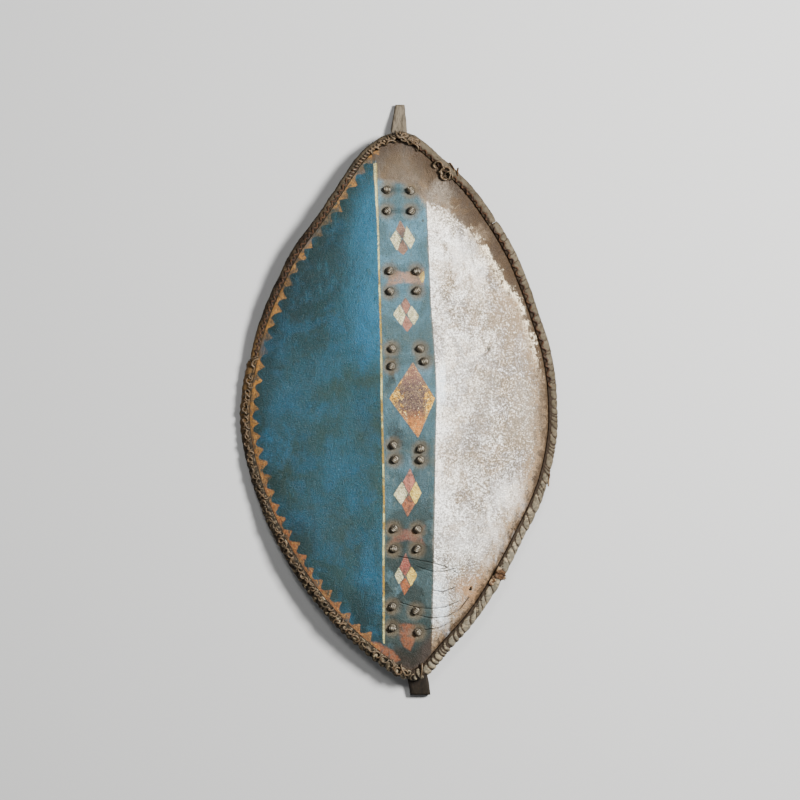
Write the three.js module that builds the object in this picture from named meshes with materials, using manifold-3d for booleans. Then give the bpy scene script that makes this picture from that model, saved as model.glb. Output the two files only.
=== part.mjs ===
// A painted hide shield, lying face up: one bowed sheet of thick hide with a rolled hide binding
// sewn round its edge, tied by twelve thong lashings to a wooden stave that carries the hand grip.
// Millimetres. X runs across the shield, Y from its foot to its head, Z up from the surface it lies on.
import * as THREE from "three";
import { mergeVertices } from "three/addons/utils/BufferGeometryUtils.js";
import Module from "manifold-3d";

const wasm = await Module();
wasm.setup();

// Hide
const hideLength = 976;
const hideWidth = 552;
const hideThickness = 5;
const camberDepth = 76; // how far the edge falls below the middle where the shield is widest
const camberPower = 2.2;
const footShift = 20; // the hide's foot stands this far to the right of its head
const bossHeight = 14; // bulge over the hand grip
const bossHalfLength = 62;
const bossHalfWidth = 56;
const pillowHeight = 3.5; // soft ridge on each side of the stave, where the lashings pull the hide in
const pillowOffset = 58;
const pillowHalfWidth = 26;
const scarHoleRadius = 3;
const scarHole = { x: 129, y: -342 };

// Edge binding
const bindingHalfHeight = 9.5;
const bindingInnerReach = 9; // how far each lip covers the hide
const bindingJointGap = 0.8;
const slotClearance = 0.7;
const slotEndClearance = 1.2;

// Loop of thong lying on the binding near the head, across it and down on to the hide
const loopRadius = 10.5;
const loopThongRadius = 2.5;
const loopSeatGap = 0.8;
const loopShare = 0.4515; // how far round the edge it lies
const loopInset = 10; // from the edge of the hide

// Stave
const staveLength = 1072;
const staveCentreHeight = 10; // the stave's middle stands this far above the hide's
const staveFaceGap = 0.9; // between the stave's front and the back of the hide
const gripWidth = 30;
const gripThickness = 25;
const gripStandOff = 24; // how far the grip is carved back from the line of the stave
const gripLength = 86;
const gripRamp = 22;
const bindingSeatGap = 1.2; // between the stave and the binding that crosses it

// Thong lashings
const thongRadius = 2.5;
const thongGap = 0.5; // between thong and stave
const thongHoleClearance = 0.9;
const knotRadius = 7.6;
const knotHeight = 9;
const knotSeatGap = 1.2;

// Edge of the hide from foot to head: [height, left, right], heights as shares of half its length
// and reaches as shares of half its width. The outline is cut by hand, so its sides differ.
const hideEdge = [
  [-1.0, -0.085, 0.085],
  [-0.981, 0.0, 0.158],
  [-0.936, 0.113, 0.228],
  [-0.876, 0.243, 0.318],
  [-0.765, 0.44, 0.486],
  [-0.615, 0.638, 0.65],
  [-0.466, 0.789, 0.787],
  [-0.317, 0.9, 0.91],
  [-0.168, 0.972, 0.979],
  [-0.028, 1.0, 1.0],
  [0.168, 0.948, 0.966],
  [0.317, 0.878, 0.888],
  [0.466, 0.764, 0.794],
  [0.578, 0.66, 0.706],
  [0.69, 0.513, 0.585],
  [0.802, 0.381, 0.443],
  [0.914, 0.248, 0.231],
  [0.97, 0.14, 0.122],
  [1.0, 0.0, 0.0],
];

// The stave from foot to head: [height as a share of half its length, centre across, width,
// thickness]. It is a hand-cut stick that kinks to the right at its foot.
const staveRows = [
  [-1.0, 39, 37, 14],
  [-0.93, 33, 38, 15],
  [-0.84, 17, 36, 16],
  [-0.75, 9, 34, 17],
  [-0.45, 11.5, 34, 18],
  [-0.15, 15.5, 34, 19],
  [0.12, 13, 34, 19],
  [0.4, 6, 34, 18],
  [0.66, -0.5, 34, 17],
  [0.86, -0.5, 32, 16],
  [0.93, 0, 28, 14],
  [0.97, 1, 22, 12],
  [1.0, 2, 17, 10],
];

// Lashings from foot to head: [left height, right height, left slack, right slack], where slack is how
// far a thong runs outside the stave's edge.
const lashings = {
  foot_lower: [-400, -408, 2, 1.5],
  foot_upper: [-361, -369, 1.5, 0.5],
  lower_grip_lower: [-257, -257, 1.5, 1],
  lower_grip_upper: [-221, -222, 1.5, 1.5],
  grip_lower: [-96, -97, 3, 3.5],
  grip_upper: [-70, -77, 6, 3],
  head_grip_lower: [69, 78, 7, 12],
  head_grip_upper: [101, 101, 5, 6.5],
  upper_grip_lower: [204, 205, 3.5, 5.5],
  upper_grip_upper: [241, 240, 2.5, 6.5],
  head_lower: [349, 349, 2, 1.5],
  head_upper: [387, 386, 1.5, 1],
};

// Lengths of binding, named for where they lie, with how far each stands out past the edge of the
// hide. A length runs from one share of the way round to the next, starting at the foot and going up
// the right side.
const bindingLengths = {
  binding_lower_right: { from: 0, to: 0.4, outerReach: 13 },
  binding_upper_right: { from: 0.4, to: 0.5, outerReach: 10 },
  binding_upper_left: { from: 0.5, to: 0.7125, outerReach: 7.5 },
  binding_lower_left: { from: 0.7125, to: 1, outerReach: 13 },
};

const hideRows = 38;
const hideColumns = 16;
const bindingStations = 2 * hideRows;
const bindingSides = 7;
const staveSteps = [20, 5, 4, 5, 20]; // foot, ramp, grip, ramp, head
const thongSides = 5;
const knotSides = 7;

const lerp = THREE.MathUtils.lerp;
const smoothstep = THREE.MathUtils.smoothstep;
const flat = (x, y) => new THREE.Vector3(x, y, 0);

// Value at t on straight lines through rows of [position, ...values].
function alongRows(rows, t, column) {
  const last = rows.length - 1;
  const k = Math.max(1, rows.findIndex((row) => row[0] >= t) < 0 ? last : rows.findIndex((row) => row[0] >= t));
  const share = THREE.MathUtils.clamp((t - rows[k - 1][0]) / (rows[k][0] - rows[k - 1][0]), 0, 1);
  return lerp(rows[k - 1][column], rows[k][column], share);
}

// Points spaced evenly along a list of closely spaced ones.
function evenly(points, count) {
  const lengths = [0];
  for (let i = 1; i < points.length; i++) lengths.push(lengths[i - 1] + points[i].distanceTo(points[i - 1]));
  const out = [];
  for (let i = 0, k = 1; i <= count; i++) {
    const want = (lengths.at(-1) * i) / count;
    while (k < points.length - 1 && lengths[k] < want) k++;
    const share = (want - lengths[k - 1]) / (lengths[k] - lengths[k - 1]);
    out.push(points[k - 1].clone().lerp(points[k], share));
  }
  return out;
}

// Plan of the hide's edge: one smooth closed curve through both sides, split at foot and head.
function planEdges() {
  const half = [hideWidth / 2, hideLength / 2];
  const right = hideEdge.map(([h, , r]) => flat(r * half[0], h * half[1]));
  const left = hideEdge.map(([h, l]) => flat(-l * half[0], h * half[1])).slice(1, -1).reverse();
  const curve = new THREE.CatmullRomCurve3([...right, ...left], true, "centripetal");
  const count = right.length + left.length;
  const stretch = (from, to) => {
    const steps = 400;
    const points = [];
    for (let i = 0; i <= steps; i++) points.push(curve.getPoint((lerp(from, to, i / steps) / count) % 1));
    return points;
  };
  return {
    right: evenly(stretch(0, right.length - 1), hideRows),
    left: evenly(stretch(count, right.length - 1), hideRows),
  };
}
const edges = planEdges();

// Middle line of the shield, from its head to its foot, which stands to the right.
const ridgeX = (y) => footShift * (0.5 - y / hideLength);

// The stave's two ends and the binding at both sides rest on the same surface, which sets how far the
// shield is bowed along its length.
const sideReach = (side) => hideWidth / 2 - side * ridgeX(0);
const edgeTilt = Math.atan((camberPower * camberDepth) / (hideWidth / 2));
const widestReach = bindingLengths.binding_lower_left.outerReach;
const bindingDrop =
  ((widestReach - bindingInnerReach) / 2) * Math.sin(edgeTilt) +
  Math.hypot(((widestReach + bindingInnerReach) / 2) * Math.sin(edgeTilt), bindingHalfHeight * Math.cos(edgeTilt));
const staveHalf = staveLength / 2;
const tipStandOff = bindingHalfHeight + bindingSeatGap - hideThickness / 2 - staveFaceGap;
const ridgeHeight = camberDepth + bindingDrop;
const bowTo = (thickness) => ridgeHeight - hideThickness / 2 - staveFaceGap - tipStandOff - thickness;
const footBow = bowTo(staveRows[0][3]);
const headBow = bowTo(staveRows.at(-1)[3]);

const bump = (t) => Math.exp(-t * t);

// Height of the middle of the hide's thickness.
function hideHeight(x, y) {
  const across = Math.abs(x - ridgeX(y));
  const along = (y - staveCentreHeight) / staveHalf;
  const bow = (along < 0 ? footBow : headBow) * along ** 2;
  const camber = camberDepth * (across / sideReach(Math.sign(x - ridgeX(y)))) ** camberPower;
  const boss = bossHeight * bump(across / bossHalfWidth) * bump(y / bossHalfLength);
  const fade = 1 - smoothstep(Math.abs(y), 0.55 * (hideLength / 2), 0.9 * (hideLength / 2));
  const pillow = pillowHeight * bump((across - pillowOffset) / pillowHalfWidth) * fade;
  return ridgeHeight - bow - camber + boss + pillow;
}

function hideNormal(x, y) {
  const step = 0.5;
  const slopeX = (hideHeight(x + step, y) - hideHeight(x - step, y)) / (2 * step);
  const slopeY = (hideHeight(x, y + step) - hideHeight(x, y - step)) / (2 * step);
  return new THREE.Vector3(-slopeX, -slopeY, 1).normalize();
}

// A point on the hide at plan position x, y, raised from the middle of its thickness.
function onHide(x, y, raise = 0) {
  return new THREE.Vector3(x, y, hideHeight(x, y)).addScaledVector(hideNormal(x, y), raise);
}

function geometryOf(vertices, faces) {
  const geometry = new THREE.BufferGeometry();
  geometry.setAttribute("position", new THREE.Float32BufferAttribute(vertices.flatMap((v) => [v.x, v.y, v.z]), 3));
  geometry.setIndex(faces.flat());
  return mergeVertices(geometry, 1e-3);
}

// A closed solid skinned over rings of points that match, with flat ends.
function skin(rings) {
  const sides = rings[0].length;
  const faces = [];
  for (let i = 0; i + 1 < rings.length; i++)
    for (let j = 0; j < sides; j++) {
      const [a, b] = [i * sides + j, i * sides + ((j + 1) % sides)];
      faces.push([a, b, b + sides], [a, b + sides, a + sides]);
    }
  const cap = (ring, first, turned) => {
    const normal = new THREE.Vector3();
    ring.forEach((p, j) => normal.add(p.clone().cross(ring[(j + 1) % sides])));
    normal.normalize();
    const across = ring[0].clone().sub(ring[Math.floor(sides / 2)]).projectOnPlane(normal).normalize();
    const up = normal.clone().cross(across);
    const contour = ring.map((p) => new THREE.Vector2(p.dot(across), p.dot(up)));
    for (const [a, b, c] of THREE.ShapeUtils.triangulateShape(contour, []))
      faces.push(turned ? [first + a, first + c, first + b] : [first + a, first + b, first + c]);
  };
  cap(rings[0], 0, true);
  cap(rings.at(-1), (rings.length - 1) * sides, false);
  return geometryOf(rings.flat(), faces);
}

function toSolid(geometry) {
  const bare = new THREE.BufferGeometry();
  bare.setAttribute("position", geometry.getAttribute("position"));
  if (geometry.index) bare.setIndex(geometry.index);
  const merged = mergeVertices(bare, 1e-3);
  return new wasm.Manifold(
    new wasm.Mesh({
      numProp: 3,
      vertProperties: new Float32Array(merged.attributes.position.array),
      triVerts: new Uint32Array(merged.index.array),
    }),
  );
}

function toGeometry(solid) {
  const mesh = solid.getMesh();
  const geometry = new THREE.BufferGeometry();
  geometry.setAttribute("position", new THREE.BufferAttribute(mesh.vertProperties, 3));
  geometry.setIndex(new THREE.BufferAttribute(mesh.triVerts, 1));
  return geometry;
}

// Turns a geometry built along Y to point along a direction, and sets it at a place.
function aimed(geometry, direction, place) {
  const turn = new THREE.Quaternion().setFromUnitVectors(new THREE.Vector3(0, 1, 0), direction);
  return geometry.applyQuaternion(turn).translate(place.x, place.y, place.z);
}

// Stave: its line follows the back of the hide, stands back at the grip, and clears the binding.
const staveAt = (share, column) => alongRows(staveRows, share, column);
const staveShare = (y) => (y - staveCentreHeight) / staveHalf;
const gripShare = (y) => 1 - smoothstep(Math.abs(y), gripLength / 2, gripLength / 2 + gripRamp);

function staveSection(y) {
  const share = staveShare(y);
  const grip = gripShare(y);
  const x = staveAt(share, 1);
  const width = lerp(staveAt(share, 2), gripWidth, grip);
  const thickness = lerp(staveAt(share, 3), gripThickness, grip);
  const towardsTip = smoothstep(Math.abs(share), 0.78, 0.88);
  const plainHeight = (px, py) => {
    const boss = bossHeight * bump(Math.abs(px - ridgeX(py)) / bossHalfWidth) * bump(py / bossHalfLength);
    return hideHeight(px, py) - boss * grip;
  };
  const standOff = hideThickness / 2 + staveFaceGap + tipStandOff * towardsTip + gripStandOff * grip;
  return { x, width, thickness, front: plainHeight(x, y) - standOff };
}

function staveRing(y) {
  const { x, width, thickness, front } = staveSection(y);
  const grip = gripShare(y);
  const corner = lerp(0.4, 0.3, grip);
  const outline = [
    [-corner, 0], [corner, 0], [0.5, -0.22], [0.5, -0.62],
    [0.3, -1], [-0.3, -1], [-0.5, -0.62], [-0.5, -0.22],
  ];
  return outline.map(([u, v]) => new THREE.Vector3(x + u * width, y, front + v * thickness));
}

function stave() {
  const grip = gripLength / 2;
  const foot = staveCentreHeight - staveHalf;
  const head = staveCentreHeight + staveHalf;
  const marks = [foot, -grip - gripRamp, -grip, grip, grip + gripRamp, head];
  const rings = [staveRing(foot)];
  for (let i = 1; i < marks.length; i++)
    for (let k = 1; k <= staveSteps[i - 1]; k++)
      rings.push(staveRing(lerp(marks[i - 1], marks[i], k / staveSteps[i - 1])));
  return skin(rings);
}

// Hide: front and back sheets over the same rows and columns, joined round the edge.
function hideSheet() {
  const vertices = [];
  const faces = [];
  const index = new Map();
  const vertex = (i, j, side) => {
    const tip = i === 0 || i === hideRows;
    const key = [i, tip ? 0 : j, side].join();
    if (!index.has(key)) {
      const p = edges.left[i].clone().lerp(edges.right[i], tip ? 0 : j / hideColumns);
      index.set(key, vertices.push(onHide(p.x, p.y, (side * hideThickness) / 2)) - 1);
    }
    return index.get(key);
  };
  const quad = (a, b, c, d) => {
    if (a !== b && b !== c && c !== a) faces.push([a, b, c]);
    if (a !== c && c !== d && d !== a) faces.push([a, c, d]);
  };
  for (let i = 0; i < hideRows; i++) {
    for (let j = 0; j < hideColumns; j++)
      for (const side of [1, -1]) {
        const corners = [vertex(i, j, side), vertex(i, j + 1, side), vertex(i + 1, j + 1, side), vertex(i + 1, j, side)];
        quad(...(side > 0 ? corners : corners.reverse()));
      }
    quad(vertex(i, 0, 1), vertex(i + 1, 0, 1), vertex(i + 1, 0, -1), vertex(i, 0, -1));
    quad(vertex(i, hideColumns, -1), vertex(i + 1, hideColumns, -1), vertex(i + 1, hideColumns, 1), vertex(i, hideColumns, 1));
  }
  return geometryOf(vertices, faces);
}

// Where each thong goes through the hide, left and right of the stave.
function thongHoles([leftY, rightY, leftSlack, rightSlack]) {
  const reach = (y, slack) => staveSection(y).width / 2 + thongGap + thongRadius + slack;
  return [
    flat(staveSection(leftY).x - reach(leftY, leftSlack), leftY),
    flat(staveSection(rightY).x + reach(rightY, rightSlack), rightY),
  ];
}

function drill(x, y, radius) {
  const length = 6 * hideThickness;
  return toSolid(aimed(new THREE.CylinderGeometry(radius, radius, length, 8), hideNormal(x, y), onHide(x, y)));
}

function hide() {
  let solid = toSolid(hideSheet());
  for (const lashing of Object.values(lashings))
    for (const { x, y } of thongHoles(lashing)) solid = solid.subtract(drill(x, y, thongRadius + thongHoleClearance));
  return toGeometry(solid.subtract(drill(scarHole.x, scarHole.y, scarHoleRadius)));
}

// A lashing: a thong round the back of the stave and up through the hide, knotted at both ends.
function knot(place) {
  const profile = [[0, 0], [0.72, 0], [1, 0.32], [0.8, 0.8], [0, 1]];
  const points = profile.map(([r, h]) => new THREE.Vector2(r * knotRadius, h * knotHeight));
  const seat = onHide(place.x, place.y, hideThickness / 2 + knotSeatGap);
  return toSolid(aimed(new THREE.LatheGeometry(points, knotSides), hideNormal(place.x, place.y), seat));
}

function lashing(row) {
  const [left, right] = thongHoles(row);
  const back = (p) => {
    const { front, thickness } = staveSection(p.y);
    return front - thickness - thongGap - thongRadius;
  };
  const top = (p) => onHide(p.x, p.y, hideThickness / 2 + knotSeatGap + knotHeight / 2);
  const bend = 2 * thongRadius;
  const across = right.clone().sub(left).normalize();
  const low = Math.min(back(left), back(right));
  const corner = (p, inward) => {
    const at = new THREE.Vector3(p.x, p.y, low);
    const up = at.clone().setZ(low + bend);
    const along = at.clone().addScaledVector(across, inward * bend);
    const middle = at.clone().lerp(up.clone().lerp(along, 0.5), 0.45);
    return [up, middle, along];
  };
  const under = (p) => onHide(p.x, p.y, -hideThickness / 2 - thongRadius);
  const half = (p, inward) => [top(p), under(p), ...corner(p, inward)];
  const path = [...half(left, 1), ...half(right, -1).reverse()];
  const side = across.clone().cross(new THREE.Vector3(0, 0, 1)).normalize();
  const rings = path.map((p, i) => {
    const ahead = path[Math.min(i + 1, path.length - 1)].clone().sub(path[Math.max(i - 1, 0)]).normalize();
    const out = ahead.clone().cross(side);
    return Array.from({ length: thongSides }, (_, k) => {
      const angle = (2 * Math.PI * k) / thongSides;
      return p.clone()
        .addScaledVector(side, thongRadius * Math.cos(angle))
        .addScaledVector(out, thongRadius * Math.sin(angle));
    });
  });
  return toGeometry(toSolid(skin(rings)).add(knot(left)).add(knot(right)));
}

// Binding: a rolled strip with a slot along its inner side, in which the hide's edge lies.
const loop = [...edges.right, ...edges.left.slice(1, -1).reverse()];

function bindingFrame(k) {
  const station = (i) => loop[(i + loop.length) % loop.length];
  const at = (i) => {
    const p = station(Math.floor(i)).clone().lerp(station(Math.floor(i) + 1), i % 1);
    return onHide(p.x, p.y);
  };
  const place = at(k);
  const ahead = at(k + 1).sub(at(k - 1)).normalize();
  const normal = hideNormal(place.x, place.y);
  const out = ahead.clone().cross(normal).normalize();
  return { place, ahead, out, up: out.clone().cross(ahead).normalize() };
}

function bindingSection(outerReach) {
  const slotHalf = hideThickness / 2 + slotClearance;
  const middle = (outerReach - bindingInnerReach) / 2;
  const half = (outerReach + bindingInnerReach) / 2;
  const start = Math.PI - Math.asin((slotHalf + 1.6) / bindingHalfHeight);
  const outline = [];
  for (let i = 0; i <= bindingSides; i++) {
    const angle = lerp(start, -start, i / bindingSides);
    outline.push([middle + half * Math.cos(angle), bindingHalfHeight * Math.sin(angle)]);
  }
  outline.push([-bindingInnerReach, -slotHalf], [slotEndClearance, -slotHalf]);
  outline.push([slotEndClearance, slotHalf], [-bindingInnerReach, slotHalf]);
  return outline;
}

function binding({ from, to, outerReach }) {
  const first = Math.round(from * bindingStations);
  const last = Math.round(to * bindingStations);
  const section = bindingSection(outerReach);
  const rings = [];
  for (let k = first; k <= last; k++) {
    const { place, ahead, out, up } = bindingFrame(k);
    const inset = ((k === first) - (k === last)) * (bindingJointGap / 2);
    place.addScaledVector(ahead, inset);
    rings.push(section.map(([u, v]) => place.clone().addScaledVector(out, u).addScaledVector(up, v)));
  }
  return skin(rings);
}

// The loop leans across the binding: its outer side lies on the crown, its inner side on the hide.
function thongLoop() {
  const { place, ahead, out, up } = bindingFrame(loopShare * bindingStations);
  const lift = loopThongRadius + loopSeatGap;
  const tilt = Math.asin((bindingHalfHeight - hideThickness / 2) / (2 * loopRadius));
  const section = [];
  for (let k = 0; k <= 6; k++) {
    const angle = (2 * Math.PI * k) / 6;
    section.push(new THREE.Vector2(loopRadius + loopThongRadius * Math.cos(angle), loopThongRadius * Math.sin(angle)));
  }
  const axis = up.clone().applyAxisAngle(ahead, -tilt);
  const raise = (bindingHalfHeight + hideThickness / 2) / 2 + lift;
  const centre = place.addScaledVector(out, -loopInset).addScaledVector(up, raise);
  return toGeometry(toSolid(aimed(new THREE.LatheGeometry(section, 12), axis, centre)));
}

const materials = {
  hide: new THREE.MeshStandardMaterial({ color: 0x3d6c86, roughness: 0.6, metalness: 0 }),
  binding: new THREE.MeshStandardMaterial({ color: 0x6d6149, roughness: 0.85, metalness: 0 }),
  stave: new THREE.MeshStandardMaterial({ color: 0x8d8070, roughness: 0.75, metalness: 0 }),
  thong: new THREE.MeshStandardMaterial({ color: 0x6b5844, roughness: 0.7, metalness: 0 }),
};

function piece(name, geometry, material) {
  const mesh = new THREE.Mesh(geometry, material);
  mesh.name = name;
  return mesh;
}

const shield = new THREE.Group();
shield.add(piece("hide", hide(), materials.hide));
shield.add(piece("stave", stave(), materials.stave));
for (const [name, length] of Object.entries(bindingLengths))
  shield.add(piece(name, binding(length), materials.binding));
for (const [name, row] of Object.entries(lashings))
  shield.add(piece("lashing_" + name, lashing(row), materials.thong));

shield.add(piece("thong_loop", thongLoop(), materials.thong));

// The origin is the middle of the shield's outline, on the surface it lies on.
const box = new THREE.Box3().setFromObject(shield);
const centre = box.getCenter(new THREE.Vector3());
shield.position.set(-centre.x, -centre.y, -box.min.z);
shield.updateMatrixWorld(true);

export default shield;
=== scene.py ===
"""The looks of a painted hide shield, lying face up: worn earth paint, a wrapped and sewn rim,
thong knots and a knife-cut stave. Shapes are worked out in millimetres and set down in metres."""
import math

import bmesh
import bpy
import numpy as np
from mathutils import Matrix, Vector, kdtree, noise


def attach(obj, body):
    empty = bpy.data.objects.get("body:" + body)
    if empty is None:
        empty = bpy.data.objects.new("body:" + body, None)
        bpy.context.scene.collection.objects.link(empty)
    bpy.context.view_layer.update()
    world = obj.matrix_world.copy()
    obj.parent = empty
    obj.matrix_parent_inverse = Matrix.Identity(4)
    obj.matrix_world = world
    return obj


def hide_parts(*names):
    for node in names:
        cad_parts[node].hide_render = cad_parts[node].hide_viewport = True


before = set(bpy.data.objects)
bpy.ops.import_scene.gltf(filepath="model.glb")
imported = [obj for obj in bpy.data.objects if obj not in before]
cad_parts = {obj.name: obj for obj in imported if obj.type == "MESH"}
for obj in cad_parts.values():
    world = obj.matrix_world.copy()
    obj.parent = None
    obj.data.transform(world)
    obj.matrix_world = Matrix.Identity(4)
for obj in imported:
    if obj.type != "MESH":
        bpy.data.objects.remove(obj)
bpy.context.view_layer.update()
MM = 0.001

# The hide's shape, as the construction has it
HIDE_THICKNESS = 5.0
HIDE_WIDTH = 552.0
HIDE_LENGTH = 976.0
STAVE_HALF = 536.0
CAMBER_DEPTH = 76.0
CAMBER_POWER = 2.2
FOOT_SHIFT = 20.0
MIDDLE_Y = -10.0  # the hide's own middle stands this far from the shield's
BOSS = {"height": 14.0, "long": 62.0, "wide": 56.0}
PILLOW = {"height": 3.5, "offset": 58.0, "wide": 26.0}
RIM_HALF_HEIGHT = 9.5
RIM_INNER_REACH = 9.0
LOWER_REACH, UPPER_RIGHT_REACH, UPPER_LEFT_REACH = 13, 10, 7.5  # how far each length stands out
SLOT_LIP = 1.6
SLOT_CLEARANCE = 0.7
SLOT_HALF_HEIGHT = HIDE_THICKNESS / 2 + SLOT_CLEARANCE
SLOT_DEPTH = 1.2

# The painted front, in millimetres from the middle of the shield
STRIPE = [(-470, -26.9), (-288, -27.8), (-180, -26.9), (-90, -28.7), (0, -30.5), (107, -32.2),
          (197, -34.9), (304, -37.6), (430, -43.0)]
STRIPE_ENDS = (-441, 427)
BAND_EDGE = [(-470, 58.0), (-395, 61.0), (-287, 62.8), (-180, 64.6), (-90, 65.5), (17, 67.3),
             (89, 63.7), (179, 57.4), (268, 53.8), (349, 50.2), (480, 44.0)]
WHITE_FIELD = [(-60, -470), (330, -470), (330, 110), (231, 163), (205, 190), (187, 212), (168, 250),
               (148, 279), (120, 312), (87, 341), (50, 352), (20, 352)]
BARE_HEAD = [(-60, 436), (-44, 430), (-44, 398), (12, 388), (30, 372), (50, 350), (90, 334),
             (150, 274), (190, 205), (232, 158), (250, 62), (330, 40), (330, 560), (-60, 560)]
RUST = [
    [(2, 323), (14, 303), (6, 289.8), (-6, 306)], [(6, 288.8), (17, 271), (8, 259), (-4, 270)],
    [(12, 184), (21, 169), (13, 152.6), (2.5, 170)], [(13, 151.6), (25, 134), (14.5, 121), (5.5, 134)],
    [(20, -123), (29.5, -146), (17.5, -168.6), (7, -147)],
    [(17.5, -169.8), (28.6, -187), (15, -211), (5, -187)],
    [(12, -275), (21.5, -300), (11, -317.6), (0.7, -302)],
    [(11, -318.8), (20.7, -335), (9.5, -352), (1, -331)],
]
SMUDGES = [
    [(-22, 236), (10, 228), (44, 235), (42, 221), (44, 206), (10, 211), (-22, 205), (-17, 220)],
    [(-17, -225), (14, -234), (46, -226), (38, -242), (46, -260), (14, -251), (-17, -259), (-8, -242)],
    [(0, -406), (13, -403), (28, -407), (30, -428), (20, -452), (10, -446), (2, -430)],
    [(-62, -436), (-38, -438), (-10, -455), (2, -470), (-20, -478), (-60, -470)],
]
CREAM = [
    [(-16, 289), (-5.7, 305), (4.4, 289.4), (-3.6, 267)],
    [(7.9, 289.2), (13.5, 312.5), (29, 287.6), (20.6, 270)],
    [(-11, 153), (1.5, 171.5), (11.4, 152), (4.7, 133)], [(14.8, 153), (22.3, 169), (36.4, 150), (26.4, 133)],
    [(-10.2, -170), (5.4, -146.8), (16, -169), (4, -188.4)],
    [(-7.8, -315), (-0.2, -301), (9.2, -319), (-0.2, -332)],
]
GOLD = [
    [(18.8, -168.6), (30.3, -146), (40.5, -167), (29.4, -188.4)],
    [(13.2, -316.3), (22.3, -299.6), (33.2, -314.7), (21.5, -336)],
    [(36, 222), (45, 232), (46, 218), (42, 208)],
]
BIG_DIAMOND = [(24.8, 67), (64, 2), (34, -68), (-17, 2)]
TOOTH = {"pitch": 27.0, "height": 14.5, "half": 10.5}

CREASES = [  # line, depth, half width
    ([(0, -282), (29, -287), (61, -293), (84, -300), (103, -311)], 0.9, 1.3),
    ([(36, -301), (60, -309), (80, -308), (98, -304)], 1.1, 1.3),
    ([(63, -343), (78, -346), (96, -339)], 0.9, 1.2),
    ([(5, -366), (34, -376), (66, -376), (84, -373), (104, -364)], 0.9, 1.3),
    ([(32, -388), (60, -394), (86, -391), (108, -379), (124, -358)], 1.0, 1.3),
    ([(50, -415), (74, -411), (92, -401)], 1.1, 1.2),
]
# Tones of paint and dirt that the stains share, with tones for painted highlights and painted shade
TONES = {
    "deep": (0.004, 0.014, 0.016),
    "dull": (0.018, 0.04, 0.04),
    "blue": (0.012, 0.075, 0.13),
    "painted_sky_highlight": (0.085, 0.15, 0.19),
    "soot_and_painted_shade": (0.01, 0.011, 0.008),
    "brown": (0.075, 0.05, 0.03),
    "tan": (0.2, 0.145, 0.095),
    "grey": (0.26, 0.22, 0.175),
    "chalk": (1.0, 0.96, 0.9),
    "painted_cool_highlight": (0.85, 0.95, 1.0),
}
# Broad stained and rubbed places: middle, half width, half height, tone, strength. Among them, the sky-blue
# ones on the band and the cool white ones beside it are painted highlights; the two soot-black ones on the
# band's left are painted shade beside the boss, the one at the foot is dirt; the two deep ones at the blue
# half's upper left are painted shade
STAINS = [
    (180, 165, 36, 42, "tan", 0.6), (212, 20, 26, 60, "grey", 0.4),
    (-13, 50, 18, 50, "soot_and_painted_shade", 0.95), (-8, -62, 24, 30, "soot_and_painted_shade", 0.9),
    (44, 48, 20, 34, "painted_sky_highlight", 0.8), (10, -117, 20, 22, "painted_sky_highlight", 0.7),
    (44, -150, 14, 60, "painted_sky_highlight", 0.3), (10, -464, 44, 26, "soot_and_painted_shade", 0.9),
    (42, -410, 16, 34, "dull", 0.7), (-186, 226, 60, 130, "deep", 0.9),
    (-118, 262, 52, 100, "deep", 0.75), (-222, -88, 44, 52, "blue", 0.65),
    (-124, -234, 60, 60, "dull", 0.6), (-178, -252, 40, 60, "deep", 0.7),
    (-70, -378, 34, 62, "deep", 0.75), (-56, -290, 20, 66, "blue", 0.7),
    (-58, 125, 22, 90, "blue", 0.7), (-62, -54, 20, 60, "dull", 0.6),
    (204, 122, 50, 84, "tan", 0.7), (150, 2, 40, 80, "grey", 0.55),
    (228, -30, 40, 66, "grey", 0.5), (102, -92, 46, 50, "grey", 0.4),
    (140, -250, 70, 60, "chalk", 0.4), (74, 137, 15, 62, "tan", 0.6),
    (92, -242, 40, 50, "grey", 0.3), (258, 10, 20, 190, "brown", 0.85),
    (108, 260, 38, 54, "chalk", 0.55), (76, 26, 12, 62, "painted_cool_highlight", 0.85),
    (190, -176, 52, 44, "chalk", 0.35), (76, -370, 18, 66, "painted_cool_highlight", 0.8),
    (136, 230, 30, 34, "chalk", 0.5), (73, 367, 44, 38, "grey", 0.6),
    (56, 403, 18, 17, "brown", 0.65), (8, 436, 24, 28, "brown", 0.65),
    (-20, 392, 20, 9, "tan", 0.65), (142, 290, 28, 30, "tan", 0.55),
    (184, 240, 24, 30, "brown", 0.7),
]
SCAR_HOLE = {"at": (129.0, -342.0), "radius": 3.2}
DARK_SPOTS = [((161, 91), 4.2), ((43, 322), 2.6)]


def interpolate(table, values):
    """Straight lines through a table of (position, value)."""
    places, heights = zip(*table)
    return np.interp(values, places, heights)


def smooth_step(x, low, high):
    t = np.clip((x - low) / (high - low), 0, 1)
    return t * t * (3 - 2 * t)


def bump(t):
    return np.exp(-t * t)


# Shape of the hide, read from the construction where it can be
def node_points(name):
    """The places of a node's vertices, in millimetres."""
    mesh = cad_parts[name].data
    places = np.empty(len(mesh.vertices) * 3)
    mesh.vertices.foreach_get("co", places)
    return places.reshape(-1, 3) / MM


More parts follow.
